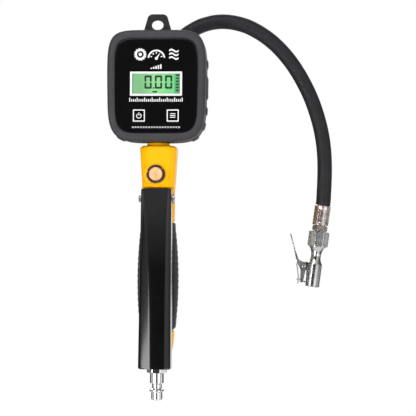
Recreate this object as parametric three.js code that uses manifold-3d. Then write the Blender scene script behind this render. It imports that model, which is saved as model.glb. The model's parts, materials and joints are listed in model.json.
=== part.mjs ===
// Hand-held tyre inflator with a digital gauge head, a squeeze lever, a hose and a clip-on chuck.
// Units are millimetres. +Z is up, -Y is the side that the display faces, +X is to the right of it.
// The origin is the centre of the hanging hole in the tab above the gauge head.

import * as THREE from "three";
import { mergeVertices } from "three/addons/utils/BufferGeometryUtils.js";
import Module from "manifold-3d";

const wasm = await Module();
wasm.setup();

const GAP = 0.3;
const ROUND = 24;

// Gauge head
const HEAD_Z = -52.7;
const HEAD_HALF_W = 41.8;
const HEAD_HALF_H = 47.3;
const HEAD_POWER = 4.6;
const BOOT_FRONT = -13.2;
const BOOT_BACK = 17;
const CASE_HALF_W = 39.2;
const CASE_HALF_H = 44.7;
const CASE_FRONT = -10.6;
const CASE_SPLIT = -1.6;
const CASE_BACK = 15.2;
const FACE_HALF_W = 35.1;
const FACE_HALF_H = 40;
const FACE_POWER = 6;
const FACE_Y = -11.8;
const FACE_BACK = -10.8;
const WALL = 2;
const WINDOW_W = 44.2;
const WINDOW_H = 20.5;
const WINDOW_Z = -51;
const LCD_W = 40.7;
const LCD_H = 17.1;
const LCD_FRONT = -10.7;
const LCD_STEP = -8.3;
const LCD_BACK = -3.5;
const BOARD_FRONT = -3.3;
const BOARD_BACK = -1.9;
const KEY = 10.8;
const KEY_FRONT = -12.1;
const KEY_X = 14.3;
const KEY_Z = -77.9;
const TAB_TOP = 9.3;
const HOLE_HALF_W = 4.95;
const HOLE_HALF_H = 4.1;
const TAB_HALF_W = 11.4;
const TAB_FOOT = -10;
const RIB_PROUD = 1.1;
const RIB_PITCH = 13.4;
const RIB_LENGTH = 7.2;
const RIB_START = 20.4;
const RIB_COUNT = 6;
const SCREW_X = 30;
const SCREW_Z = 34;
const DOOR = 1.6;
const DOOR_SCREW_X = 29.3;
const CELL_R = 5.2;
const CELL_RISE = 5.6;
const BAY = { x: 25.5, z0: -64.5, z1: -40, floor: 1.4 };

// Body and handle
const STEM_Y = 5.5;
const NECK_R = 9;
const STEM_R = 5;
const STEM_HOLE_R = 6.6;
const NECK_TOP = -100.2;
const BODY_TOP = -102.5;
const BODY_FOOT = -138.6;
const BODY_HALF_W = 15.7;
const BODY_TAPER = 0.135;
const SHOULDER = 4.5;
const BODY_FRONT = -7;
const BODY_BACK = 24;
const HANDLE_Y = 9;
const HANDLE_END = -288;
const TAIL_TOP = -262;
const GRIP_TOP = -168.3;
const GRIP_END = -260;
const PORT_Y = 27;
const PORT_TOP = -84;
const LUG_R = 4.2;
const LUG_HALF_W = 9.9;
const DUCT_R = 2.6;
const BLEED_Z = -127;
const VALVE_Z = -160;
const STEM_TIP = -7.2;
const SEAT_Y = 12;

// Lever
const PIVOT_Z = -147.8;
const LEVER_TILT = 4;
const LEVER_TOP = 8.1;
const LEVER_END = -144;
const LEVER_FRONT = -8.5;
const LEVER_WALL = 1.6;
const PIN_R = 2;
const PLUG_FLATS = 17;

// Hose and chuck
const HOSE_R = 6.35;
const HOSE_START = -56.7;
const CHUCK_TILT = 7.6;
const CHUCK_X = 142.1;
const CHUCK_Z = -153.3;
const CHUCK_FLATS = 17;
const CHUCK_NUT_TOP = -22.3;
const CHUCK_NUT_END = -35.4;
const CHUCK_MOUTH = -70.6;
const CLIP_X = -9.4;
const CLIP_Z = -53.4;
const HOSE_ROUTE = [
  [0, PORT_Y, HOSE_START],
  [0.1, PORT_Y, -48],
  [1.2, PORT_Y, -36],
  [5.2, PORT_Y, -24],
  [12.2, PORT_Y, -13.2],
  [21.5, PORT_Y, -4.2],
  [32.3, PORT_Y, 2.4],
  [43, PORT_Y, 6.1],
  [54, PORT_Y, 7.3],
  [65, PORT_Y, 6.1],
  [76, PORT_Y, 2.8],
  [86.5, PORT_Y, -2.7],
  [96.2, PORT_Y, -9.6],
  [104.9, PORT_Y, -17.8],
  [112.9, PORT_Y, -27.3],
  [119.7, PORT_Y, -37.3],
  [125.6, PORT_Y, -47.7],
  [131, PORT_Y, -59],
  [135.3, PORT_Y, -70.5],
  [138.8, PORT_Y, -82.3],
  [141.3, PORT_Y, -94.2],
  [142.8, PORT_Y, -106],
  [143.4, PORT_Y, -118.4],
  [143.3, PORT_Y, -130.5],
  [142.8, PORT_Y, -142.6],
  [142.6, PORT_Y, -147.8],
  [CHUCK_X, PORT_Y, CHUCK_Z + 0.9],
];

const radians = (degrees) => (degrees * Math.PI) / 180;

const finish = (color, roughness, metalness) =>
  new THREE.MeshStandardMaterial({ color, roughness, metalness });

const charcoalRubber = finish("#4b4b50", 0.75, 0);
const blackPlastic = finish("#232325", 0.6, 0);
const glossBlack = finish("#0b0b0c", 0.12, 0);
const whiteInk = finish("#eeeeec", 0.4, 0);
const clearLens = finish("#d8e4dc", 0.05, 0);
const lcdGreen = finish("#8fe0a0", 0.3, 0);
const boardGreen = finish("#1d5a35", 0.5, 0);
const cellSleeve = finish("#b9bcc2", 0.35, 0.6);
const yellowPaint = finish("#fdc400", 0.3, 0.1);
const blackPaint = finish("#1a1a1b", 0.25, 0.1);
const chrome = finish("#cfd0d4", 0.12, 1);
const steel = finish("#a9abae", 0.3, 1);
const brass = finish("#c9a35c", 0.3, 1);
const copperCap = finish("#e7b98a", 0.3, 1);
const nickel = finish("#cbbdb6", 0.3, 1);
const hoseRubber = finish("#303033", 0.7, 0);
const sealRubber = finish("#161617", 0.8, 0);

// Turns a closed geometry into a solid with its faces pointing out.
function solid(geometry) {
  geometry.deleteAttribute("normal");
  geometry.deleteAttribute("uv");
  const merged = mergeVertices(geometry, 1e-4);
  const points = merged.attributes.position.array;
  const index = merged.index.array;
  const corners = [0, 1, 2].map(() => new THREE.Vector3());
  const kept = [];
  let volume = 0;
  for (let i = 0; i < index.length; i += 3) {
    const [a, b, c] = [index[i], index[i + 1], index[i + 2]];
    if (a === b || b === c || c === a) continue;
    [a, b, c].forEach((vertex, k) => corners[k].fromArray(points, 3 * vertex));
    volume += corners[0].dot(corners[1].cross(corners[2]));
    kept.push(a, b, c);
  }
  if (volume < 0) kept.reverse();
  const mesh = { numProp: 3, vertProperties: new Float32Array(points), triVerts: new Uint32Array(kept) };
  return new wasm.Manifold(new wasm.Mesh(mesh));
}

function geometryOf(body) {
  const mesh = body.getMesh();
  const geometry = new THREE.BufferGeometry();
  geometry.setAttribute("position", new THREE.BufferAttribute(mesh.vertProperties, 3));
  geometry.setIndex(new THREE.BufferAttribute(mesh.triVerts, 1));
  geometry.computeVertexNormals();
  return geometry;
}

const root = new THREE.Group();

function part(name, body, material, group = root) {
  const mesh = new THREE.Mesh(geometryOf(body), material);
  mesh.name = name;
  group.add(mesh);
  return mesh;
}

const cut = (body, ...tools) => tools.reduce((rest, tool) => rest.subtract(tool), body);
const join = (body, ...others) => others.reduce((sum, other) => sum.add(other), body);

const polygon = (points) => new THREE.Shape(points.map(([x, y]) => new THREE.Vector2(x, y)));

// Right half of an outline, mirrored to a closed one. Points run from the front to the back.
const mirrored = (points) => polygon([...points, ...points.map(([x, y]) => [-x, y]).reverse()]);

function superellipse(a, b, power, count = 40) {
  const points = [];
  for (let i = 0; i < count; i += 1) {
    const angle = (2 * Math.PI * (i + 0.5)) / count;
    const [c, s] = [Math.cos(angle), Math.sin(angle)];
    const x = a * Math.sign(c) * Math.abs(c) ** (2 / power);
    const y = b * Math.sign(s) * Math.abs(s) ** (2 / power);
    points.push([x, y]);
  }
  return polygon(points);
}

// Regular outline with a flat to the front and another to the back.
const nutShape = (acrossFlats, sides = 6) =>
  polygon([...Array(sides).keys()].map((i) => {
    const angle = Math.PI * (0.5 + (2 * i + 1) / sides);
    const radius = acrossFlats / 2 / Math.cos(Math.PI / sides);
    return [radius * Math.cos(angle), radius * Math.sin(angle)];
  }));

// Outline in X and Z, extruded along Y.
function slabY(shape, y0, y1, x = 0, z = 0, bevel = 0) {
  const geometry = new THREE.ExtrudeGeometry(shape, {
    depth: y1 - y0 - 2 * bevel,
    bevelEnabled: bevel > 0,
    bevelThickness: bevel,
    bevelSize: bevel,
    bevelOffset: -bevel,
    bevelSegments: 2,
    curveSegments: 6,
  });
  geometry.rotateX(Math.PI / 2);
  geometry.translate(x, y1 - bevel, z);
  return solid(geometry);
}

// Outline in X and Y, extruded along Z. Warp may move each point of the steps.
function slabZ(shape, z0, z1, x = 0, y = 0, steps = 1, warp = null) {
  const geometry = new THREE.ExtrudeGeometry(shape, { depth: z1 - z0, bevelEnabled: false, steps });
  geometry.translate(0, 0, z0);
  if (warp) {
    const position = geometry.attributes.position;
    for (let i = 0; i < position.count; i += 1) {
      const moved = warp(position.getX(i), position.getY(i), position.getZ(i));
      position.setXYZ(i, moved[0], moved[1], moved[2]);
    }
  }
  geometry.translate(x, y, 0);
  return solid(geometry);
}

function box(x0, x1, y0, y1, z0, z1) {
  const geometry = new THREE.BoxGeometry(x1 - x0, y1 - y0, z1 - z0);
  geometry.translate((x0 + x1) / 2, (y0 + y1) / 2, (z0 + z1) / 2);
  return solid(geometry);
}

const block = (x, z, width, height, y0, y1) =>
  box(x - width / 2, x + width / 2, y0, y1, z - height / 2, z + height / 2);

function rodX(radius, x0, x1, y, z, sides = ROUND) {
  const geometry = new THREE.CylinderGeometry(radius, radius, x1 - x0, sides);
  geometry.rotateZ(Math.PI / 2);
  geometry.translate((x0 + x1) / 2, y, z);
  return solid(geometry);
}

function rodY(radius, y0, y1, x, z, sides = ROUND) {
  const geometry = new THREE.CylinderGeometry(radius, radius, y1 - y0, sides);
  geometry.translate(x, (y0 + y1) / 2, z);
  return solid(geometry);
}

function rodZ(radius, z0, z1, x = 0, y = 0, sides = ROUND) {
  const geometry = new THREE.CylinderGeometry(radius, radius, z1 - z0, sides);
  geometry.rotateX(Math.PI / 2);
  geometry.translate(x, y, (z0 + z1) / 2);
  return solid(geometry);
}

// Profile of [radius, z] points, turned about the Z axis.
function turned(profile, x = 0, y = 0, sides = ROUND) {
  const geometry = new THREE.LatheGeometry(profile.map(([r, z]) => new THREE.Vector2(r, z)), sides);
  geometry.rotateX(Math.PI / 2);
  geometry.translate(x, y, 0);
  return solid(geometry);
}

const ringZ = (outer, inner, z0, z1, x = 0, y = 0, sides = ROUND) =>
  turned([[inner, z0], [outer, z0], [outer, z1], [inner, z1], [inner, z0]], x, y, sides);

// Profile of [radius, y] points, turned about an axis along Y.
function turnedY(profile, x, z, sides = ROUND) {
  const geometry = new THREE.LatheGeometry(profile.map(([r, y]) => new THREE.Vector2(r, y)), sides);
  geometry.translate(x, 0, z);
  return solid(geometry);
}

const ringY = (outer, inner, y0, y1, x, z) =>
  turnedY([[inner, y0], [outer, y0], [outer, y1], [inner, y1], [inner, y0]], x, z);

// Coil spring along Y, centred on x and z.
function coilY(radius, wire, y0, y1, turns, x, z) {
  class Helix extends THREE.Curve {
    getPoint(t, target = new THREE.Vector3()) {
      const angle = 2 * Math.PI * turns * t;
      const y = y0 + wire + (y1 - y0 - 2 * wire) * t;
      return target.set(x + radius * Math.cos(angle), y, z + radius * Math.sin(angle));
    }
  }
  const section = superellipse(wire, wire, 2, 6);
  const steps = Math.round(turns * 9);
  const settings = { steps, bevelEnabled: false, extrudePath: new Helix() };
  return solid(new THREE.ExtrudeGeometry(section, settings));
}

// ---------------------------------------------------------------- gauge head

// Evenly spaced places down the right side of a superellipse, with the direction of the edge at each.
function outlineWalk(a, b, power, start, pitch, count) {
  const samples = 720;
  const at = (i) => {
    const angle = -(Math.PI * i) / samples + Math.PI / 2;
    const [c, s] = [Math.cos(angle), Math.sin(angle)];
    return [a * Math.abs(c) ** (2 / power), b * Math.sign(s) * Math.abs(s) ** (2 / power)];
  };
  const found = [];
  let travelled = null;
  for (let i = 1; i <= samples && found.length < count; i += 1) {
    const [here, last] = [at(i), at(i - 1)];
    if (travelled === null && here[1] <= start) travelled = pitch;
    if (travelled === null) continue;
    travelled += Math.hypot(here[0] - last[0], here[1] - last[1]);
    if (travelled >= pitch) {
      found.push({ x: here[0], z: here[1], angle: Math.atan2(last[0] - here[0], last[1] - here[1]) });
      travelled = 0;
    }
  }
  return found;
}

function bootRibs() {
  const spots = outlineWalk(HEAD_HALF_W, HEAD_HALF_H, HEAD_POWER, RIB_START, RIB_PITCH, RIB_COUNT);
  const shape = superellipse(RIB_PROUD, RIB_LENGTH / 2, 4, 8);
  return spots.flatMap(({ x, z, angle }) =>
    [1, -1].map((side) => {
      const turn = side * THREE.MathUtils.radToDeg(angle);
      const rib = slabY(shape, 0.5, BOOT_BACK - 2);
      return rib.rotate([0, turn, 0]).translate([side * x, 0, HEAD_Z + z]);
    }));
}

function tabShape(grow) {
  const half = TAB_HALF_W + grow;
  const top = TAB_TOP + grow;
  const flat = 5.2;
  const shape = new THREE.Shape();
  shape.moveTo(-half - 1.9, TAB_FOOT);
  shape.lineTo(half + 1.9, TAB_FOOT);
  shape.lineTo(half - 2.4, 4);
  shape.quadraticCurveTo(half - 3.8, top, flat, top);
  shape.lineTo(-flat, top);
  shape.quadraticCurveTo(-half + 3.8, top, -half + 2.4, 4);
  return shape;
}

const headShape = superellipse(HEAD_HALF_W, HEAD_HALF_H, HEAD_POWER);
const boardShape = superellipse(35.5, 40.5, 5);
const caseShape = (inset) => superellipse(CASE_HALF_W - inset, CASE_HALF_H - inset, HEAD_POWER);
const faceShape = (inset) => superellipse(FACE_HALF_W - inset, FACE_HALF_H - inset, FACE_POWER);

const keySpots = [-KEY_X, KEY_X];
const corners = [[-1, 1], [1, 1], [-1, -1], [1, -1]];
const screwSpots = corners.map(([sx, sz]) => [sx * SCREW_X, HEAD_Z + sz * SCREW_Z]);

function gaugeBoot() {
  const skin = slabY(headShape, BOOT_FRONT, BOOT_BACK, 0, HEAD_Z, 2.2);
  return cut(
    join(skin, ...bootRibs()),
    slabY(caseShape(-0.2), FACE_Y + 0.6, CASE_BACK + 0.1, 0, HEAD_Z),
    slabY(faceShape(0), BOOT_FRONT - 1, 0, 0, HEAD_Z),
    slabY(superellipse(33.5, 38.5, 5), 0, BOOT_BACK + 1, 0, HEAD_Z),
    slabY(tabShape(GAP), -1.8, 1.8),
    rodZ(STEM_HOLE_R, HEAD_Z - HEAD_HALF_H - 1, HEAD_Z - CASE_HALF_H + 1, 0, STEM_Y),
  );
}

function caseFront() {
  const shell = slabY(caseShape(0), CASE_FRONT, CASE_SPLIT, 0, HEAD_Z);
  const hollow = slabY(caseShape(WALL), CASE_FRONT + WALL, CASE_SPLIT + 1, 0, HEAD_Z);
  const posts = screwSpots.map(([x, z]) => rodY(3.2, CASE_FRONT + 1, CASE_SPLIT, x, z, 16));
  const bores = screwSpots.map(([x, z]) => rodY(1.5, -7, CASE_SPLIT + 1, x, z, 12));
  const keyHole = KEY + 3 * GAP;
  const keys = keySpots.map((x) => block(x, KEY_Z, keyHole, keyHole, CASE_FRONT - 1, -7));
  const window = block(0, WINDOW_Z, LCD_W + 4 * GAP, LCD_H + 4 * GAP, CASE_FRONT - 1, -7);
  return cut(join(cut(shell, hollow), ...posts), ...bores, ...keys, window);
}

const bayZ = (BAY.z0 + BAY.z1) / 2;

function caseBack() {
  const shell = slabY(caseShape(0), CASE_SPLIT + GAP, CASE_BACK, 0, HEAD_Z);
  const hollow = slabY(caseShape(WALL), CASE_SPLIT - 1, CASE_BACK - WALL, 0, HEAD_Z);
  const posts = screwSpots.map(([x, z]) => rodY(3.6, CASE_SPLIT + GAP, CASE_BACK - 1, x, z, 16));
  const rim = 1.5;
  const bay = box(-BAY.x - rim, BAY.x + rim, BAY.floor - rim, CASE_BACK - 1, BAY.z0 - rim, BAY.z1 + rim);
  const tab = slabY(tabShape(0), -1.3, 1.5);
  const bores = screwSpots.flatMap(([x, z]) => [
    rodY(1.8, CASE_SPLIT - 1, CASE_BACK + 1, x, z, 12),
    rodY(3.1, CASE_BACK - 3.2, CASE_BACK + 1, x, z, 16),
  ]);
  const doorSeat = CASE_BACK - DOOR - 0.2;
  return cut(
    join(cut(shell, hollow), ...posts, bay, tab),
    box(-BAY.x, BAY.x, BAY.floor, CASE_BACK + 1, BAY.z0, BAY.z1),
    box(-BAY.x - 2.5, BAY.x + 6.5, doorSeat, CASE_BACK + 1, BAY.z0 - 2, BAY.z1 + 2),
    ...bores,
    rodY(1.3, 6, CASE_BACK + 1, DOOR_SCREW_X, bayZ, 12),
    slabY(superellipse(HOLE_HALF_W, HOLE_HALF_H, 2, ROUND), -5, 5),
    rodZ(STEM_HOLE_R, HEAD_Z - CASE_HALF_H - 1, HEAD_Z - CASE_HALF_H + WALL + 1, 0, STEM_Y),
  );
}

function crossScrew(x, z, head, tip, headRadius, shankRadius) {
  const body = join(
    rodY(headRadius, head - 1.8, head, x, z, 16),
    rodY(shankRadius, tip, head - 1.7, x, z, 10),
  );
  const [long, narrow, deep] = [3.6, 0.8, 0.9];
  return cut(
    body,
    block(x, z, narrow, long, head - deep, head + 1),
    block(x, z, long, narrow, head - deep, head + 1),
  );
}

function buildFace() {
  const windowCut = block(0, WINDOW_Z, WINDOW_W, WINDOW_H, FACE_Y - 1, LCD_STEP);
  const keyHole = KEY + 2 * GAP;
  const keyCuts = keySpots.map((x) => block(x, KEY_Z, keyHole, keyHole, FACE_Y - 1, LCD_STEP));
  const panel = slabY(faceShape(GAP), FACE_Y, FACE_BACK, 0, HEAD_Z);
  part("face_panel", cut(panel, windowCut, ...keyCuts), glossBlack);
  const frame = block(0, WINDOW_Z, WINDOW_W - 0.2, WINDOW_H - 0.2, FACE_Y + 0.1, FACE_BACK);
  const opening = block(0, WINDOW_Z, LCD_W, LCD_H, FACE_Y - 1, LCD_STEP);
  part("display_frame", cut(frame, opening), whiteInk);
  const lens = block(0, WINDOW_Z, LCD_W - 0.2, LCD_H - 0.2, FACE_Y + 0.2, FACE_BACK - 0.2);
  part("display_lens", lens, clearLens);
  const glass = block(0, WINDOW_Z, LCD_W, LCD_H, LCD_FRONT, LCD_STEP + 0.1);
  const carrier = block(0, WINDOW_Z, 47, 23, LCD_STEP, LCD_BACK);
  part("lcd_module", join(glass, carrier), lcdGreen);
}

function buildKeys() {
  const names = ["power", "function"];
  keySpots.forEach((x, i) => {
    const cap = block(x, KEY_Z, KEY, KEY, KEY_FRONT, LCD_STEP + 0.1);
    const flange = block(x, KEY_Z, 13, 13, LCD_STEP, -7.4);
    part(`${names[i]}_button`, join(cap, flange), glossBlack);
    const can = block(x, KEY_Z, 6, 6, -6.2, LCD_BACK);
    part(`${names[i]}_switch`, join(can, rodY(1.7, -6.6, -6, x, KEY_Z, 12)), steel);
  });
}

function buildBattery() {
  const cellY = (BAY.floor + CASE_BACK - DOOR - 0.2) / 2;
  [["upper_cell", CELL_RISE], ["lower_cell", -CELL_RISE]].forEach(([name, rise]) => {
    const can = rodX(CELL_R, -22, 21, cellY, bayZ + rise, 20);
    const button = rodX(1.8, 20.8, 22.3, cellY, bayZ + rise, 12);
    part(name, join(can, button), cellSleeve);
  });
  [["left_contact", -BAY.x + 0.4], ["right_contact", BAY.x - 1]].forEach(([name, x]) => {
    part(name, box(x, x + 0.6, cellY - 4, cellY + 4, bayZ - 10, bayZ + 10), steel);
  });
  const door = box(-BAY.x - 2.3, BAY.x + 6.3, CASE_BACK - DOOR, CASE_BACK, BAY.z0 - 1.8, BAY.z1 + 1.8);
  part("battery_door", cut(door, rodY(1.6, 10, 20, DOOR_SCREW_X, bayZ, 12)), blackPlastic);
  part("door_screw", crossScrew(DOOR_SCREW_X, bayZ, CASE_BACK + 1.9, 8, 2.4, 1.1), steel);
}

function buildHead() {
  part("gauge_boot", gaugeBoot(), charcoalRubber);
  part("case_front", caseFront(), blackPlastic);
  part("case_back", caseBack(), blackPlastic);
  buildFace();
  buildKeys();
  const clearances = screwSpots.map(([x, z]) => rodY(4.2, -5, 0, x, z, 12));
  const board = slabY(boardShape, BOARD_FRONT, BOARD_BACK, 0, HEAD_Z);
  part("circuit_board", cut(board, ...clearances), boardGreen);
  buildBattery();
  screwSpots.forEach(([x, z], i) => {
    part(`case_screw_${i + 1}`, crossScrew(x, z, CASE_BACK - 0.6, -5, 2.7, 1.3), steel);
  });
  part("pressure_sensor", join(
    rodZ(6, -90.5, -83.5, 0, STEM_Y + 1),
    rodZ(2.2, -83.6, -81, 0, STEM_Y + 1, 12),
  ), steel);
  part("gauge_stem", cut(
    join(
      rodZ(6.2, NECK_TOP + 0.2, -94, 0, STEM_Y),
      rodZ(STEM_R, -114, NECK_TOP + 0.3, 0, STEM_Y),
      slabZ(nutShape(13), -94.1, -90.8, 0, STEM_Y),
    ),
    rodZ(1.6, -115, -90, 0, STEM_Y, 12),
  ), brass);
}

// ---------------------------------------------------------------- body and handle

const bodySection = [
  [10.4, BODY_FRONT],
  [BODY_HALF_W, BODY_FRONT + 4.8],
  [BODY_HALF_W, BODY_BACK - 5],
  [11, BODY_BACK],
];

// Narrows towards the foot, rounds the top over, and slopes the front back above the lever.
function bodyWarp(x, y, z) {
  const drop = Math.max(0, z - (BODY_TOP - SHOULDER)) / SHOULDER;
  const inset = SHOULDER * (1 - Math.sqrt(Math.max(0, 1 - drop * drop)));
  const taper = 1 - BODY_TAPER * ((BODY_TOP - z) / (BODY_TOP - BODY_FOOT));
  const halfX = BODY_HALF_W * taper;
  const middle = (BODY_FRONT + BODY_BACK) / 2;
  const depth = (BODY_BACK - BODY_FRONT) / 2;
  const slope = Math.max(0, -134.5 - z) * (y < 0 ? 1.1 : 0);
  const movedX = x * taper * ((halfX - inset) / halfX);
  const movedY = middle + (y - middle) * ((depth - inset * 0.7) / depth) + slope;
  return [movedX, movedY, z];
}

function handleWarp(x, y, z) {
  const end = Math.max(0, (TAIL_TOP - z) / (TAIL_TOP - HANDLE_END)) ** 1.6;
  return [x * (1 - 0.36 * end), HANDLE_Y + (y - HANDLE_Y) * (1 - 0.3 * end), z];
}

function handleCasting() {
  const spine = mirrored([[9.4, 1], [10.3, 2.2], [10.3, 12]]);
  const back = mirrored([[11, 5.4], [14.3, 7], [14.3, 18.5], [9.5, BODY_BACK]]);
  const core = superellipse(12.2, 7.6, 4, 24);
  return join(
    slabZ(spine, HANDLE_END, -138, 0, 0, 10, handleWarp),
    slabZ(back, GRIP_TOP + GAP, -138),
    slabZ(core, GRIP_END - 1, GRIP_TOP + 1, 0, 14.4),
    slabZ(back, HANDLE_END, GRIP_END - GAP, 0, 0, 6, handleWarp),
  );
}

function airPassages() {
  return [
    rodZ(DUCT_R, -166, -112, 0, HANDLE_Y, 16),
    rodZ(4.6, HANDLE_END - 2, -168, 0, HANDLE_Y, 20),
    rodZ(DUCT_R, -170, -158, 0, 15, 12),
    box(-DUCT_R, DUCT_R, HANDLE_Y, 15, -172, -168.5),
    rodZ(5.5, -100, PORT_TOP + 1, 0, PORT_Y, 20),
    rodZ(DUCT_R, -120, -99, 0, PORT_Y, 12),
    rodY(DUCT_R, HANDLE_Y, PORT_Y, 0, -118, 12),
  ];
}

function bodyCasting() {
  const shape = join(
    slabZ(mirrored(bodySection), BODY_FOOT, BODY_TOP, 0, 0, 16, bodyWarp),
    rodZ(NECK_R, -104, NECK_TOP, 0, STEM_Y),
    rodZ(8.4, -118, PORT_TOP, 0, PORT_Y),
    rodZ(10, -132, -103.5, 0, PORT_Y),
    box(-9.3, 9.3, 14, 28, -130.6, -104.3),
    rodX(LUG_R, -LUG_HALF_W, LUG_HALF_W, 0, PIVOT_Z),
    box(-LUG_HALF_W, LUG_HALF_W, -3.2, 6, PIVOT_Z, -138),
    handleCasting(),
    rodY(10.6, BODY_FRONT - 1.2, 0, 0, BLEED_Z, 32),
    rodY(7.8, 14, BODY_BACK + 1.5, 0, VALVE_Z),
  );
  const bleedBore = join(
    rodY(6.2, BODY_FRONT - 3, -1, 0, BLEED_Z),
    rodY(2.6, -2, 7, 0, BLEED_Z, 16),
  );
  const valveBore = join(
    rodY(5.4, -3, 7.3, 0, VALVE_Z, 20),
    rodY(2.8, 7, SEAT_Y + 0.4, 0, VALVE_Z, 16),
    rodY(6.5, SEAT_Y - 0.1, BODY_BACK + 3, 0, VALVE_Z, 20),
  );
  return cut(
    shape,
    rodX(PIN_R + 0.05, -12, 12, 0, PIVOT_Z),
    rodZ(STEM_R + GAP + 0.1, -116, NECK_TOP + 1, 0, STEM_Y),
    rodZ(7, NECK_TOP - 1.3, NECK_TOP + 1, 0, STEM_Y),
    bleedBore,
    valveBore,
    ...airPassages(),
  );
}

const gripSection = [
  [11.2, 5.6],
  [13.6, 5.2],
  [14.9, 8.5],
  [14.9, 18.5],
  [12, 23.5],
  [5, 27],
];

// Swells the middle of the grip outwards and backwards.
function gripWarp(x, y, z) {
  const t = (z - GRIP_END) / (GRIP_TOP - GRIP_END);
  const belly = Math.sin(Math.PI * Math.min(1, t * 1.04 + 0.02)) ** 0.8;
  const behind = Math.max(0, y - 10) / 17;
  return [x * (1 + 0.18 * belly), y + 1.2 * belly * behind, z];
}

function handleGrip() {
  const outer = slabZ(mirrored(gripSection), GRIP_END, GRIP_TOP, 0, 0, 12, gripWarp);
  const core = slabZ(superellipse(12.4, 7.8, 4, 24), GRIP_END - 1, GRIP_TOP + 1, 0, 14.4);
  return cut(outer, core, box(-10.6, 10.6, 0, 12, GRIP_END - 1, GRIP_TOP + 1));
}

function buildBody() {
  part("body_casting", bodyCasting(), yellowPaint);
  part("handle_grip", handleGrip(), charcoalRubber);
  const rim = BODY_FRONT - 1.3;
  const collar = [
    [6, rim - 2.5],
    [7.4, rim - 2.5],
    [7.9, rim - 1.9],
    [7.9, rim],
    [6, rim],
    [6, -3.4],
    [3.4, -3.4],
    [3.4, rim - 0.2],
    [6, rim - 0.2],
    [6, rim - 2.5],
  ];
  part("bleed_collar", turnedY(collar, 0, BLEED_Z), chrome);
  part("bleed_button", join(
    rodY(5.85, BODY_FRONT - 5.2, BODY_FRONT - 3.3, 0, BLEED_Z, 28),
    rodY(2.1, BODY_FRONT - 3.4, 1.2, 0, BLEED_Z, 16),
    rodY(3.1, BODY_FRONT + 0.4, BODY_FRONT + 1, 0, BLEED_Z, 16),
  ), copperCap);
  part("bleed_spring", coilY(2.75, 0.3, BODY_FRONT + 1.1, -1.1, 4, 0, BLEED_Z), steel);
  part("bleed_seal", ringY(2.5, 1.1, 1.4, 2.6, 0, BLEED_Z), sealRubber);
  part("valve_gland", cut(
    join(rodY(5.2, 0.8, 6.9, 0, VALVE_Z, 20), slabY(nutShape(11.5), -1.5, 0.9, 0, VALVE_Z)),
    rodY(2.1, -3, 8, 0, VALVE_Z, 16),
  ), brass);
  part("valve_stem", rodY(1.9, STEM_TIP, SEAT_Y - 0.1, 0, VALVE_Z, 16), steel);
  part("valve_seal", rodY(5, SEAT_Y, SEAT_Y + 2, 0, VALVE_Z, 20), sealRubber);
  part("valve_spring", coilY(3.9, 0.5, SEAT_Y + 2.2, 20.2, 4, 0, VALVE_Z), steel);
  part("valve_cap", join(
    rodY(6.2, 20.5, BODY_BACK + 1.7, 0, VALVE_Z, 20),
    slabY(nutShape(12), BODY_BACK + 1.6, BODY_BACK + 5, 0, VALVE_Z),
  ), brass);
  part("port_seal", ringZ(7.2, 5.5, PORT_TOP + 0.05, PORT_TOP + 1, 0, PORT_Y), sealRubber);
}

// ---------------------------------------------------------------- lever

function leverShell() {
  const outline = [
    [5.2, LEVER_FRONT],
    [12.4, LEVER_FRONT + 3],
    [13, LEVER_FRONT + 4.2],
    [13, 4.2],
  ];
  const hollow = [
    [4.8, LEVER_FRONT + LEVER_WALL],
    [10.9, LEVER_FRONT + 4.1],
    [11.4, LEVER_FRONT + 5.2],
    [11.4, 6],
  ];
  const widen = (z) => 1 + 0.07 * ((LEVER_TOP - z) / (LEVER_TOP - LEVER_END));
  const warp = (x, y, z) => [x * widen(z), y, z];
  const outer = slabZ(mirrored(outline), LEVER_END, LEVER_TOP, 0, 0, 1, warp);
  const inner = slabZ(mirrored(hollow), LEVER_END - 1, LEVER_TOP + 1, 0, 0, 1, warp);
  const relief = box(-20, 20, 1.8, 8, LEVER_END - 1, -8);
  return cut(outer, inner, relief, rodX(PIN_R + GAP, -15, 15, 0, 0));
}

function buildLever() {
  const group = new THREE.Group();
  group.position.set(0, 0, PIVOT_Z);
  group.rotation.x = -radians(LEVER_TILT);
  root.add(group);
  part("lever", leverShell(), blackPaint, group);
  part("lever_pin", join(
    rodX(PIN_R, -14.4, 15.4, 0, PIVOT_Z, 20),
    rodX(3.2, -15.5, -14.2, 0, PIVOT_Z, 20),
  ), steel);
  const clip = cut(rodX(3.6, 14.2, 15.1, 0, PIVOT_Z, 20), rodX(PIN_R + 0.05, 13, 17, 0, PIVOT_Z));
  part("pin_clip", cut(clip, box(13, 17, -1.3, 1.3, PIVOT_Z - 5, PIVOT_Z)), steel);
}

// ---------------------------------------------------------------- air inlet

function buildInlet() {
  const bottom = HANDLE_END - 1.2;
  const nose = [
    [2.3, bottom + 6],
    [2.3, -320.6],
    [4.6, -320.6],
    [5, -319.8],
    [4.9, -313.8],
    [6.4, -312.9],
    [6.4, -311.6],
    [4.4, -310.6],
    [4.4, -306.8],
    [6.15, -305.9],
    [6.15, -297],
    [4.4, -297],
    [4.4, bottom + 14],
    [2.3, bottom + 14],
    [2.3, bottom + 6],
  ];
  const nut = cut(
    slabZ(nutShape(PLUG_FLATS, 8), -297.2, bottom, 0, HANDLE_Y),
    rodZ(3, -300, bottom + 1, 0, HANDLE_Y),
  );
  part("inlet_plug", join(turned(nose, 0, HANDLE_Y), nut), chrome);
  part("inlet_seal", ringZ(7.6, 4.9, bottom + 0.1, HANDLE_END - 0.1, 0, HANDLE_Y), sealRubber);
  const cup = [
    [2.4, -274.6],
    [4, -274.6],
    [4, -262],
    [0, -262],
    [0, -263.5],
    [2.4, -263.5],
    [2.4, -274.6],
  ];
  part("inlet_filter", turned(cup, 0, HANDLE_Y, 16), brass);
}

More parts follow.
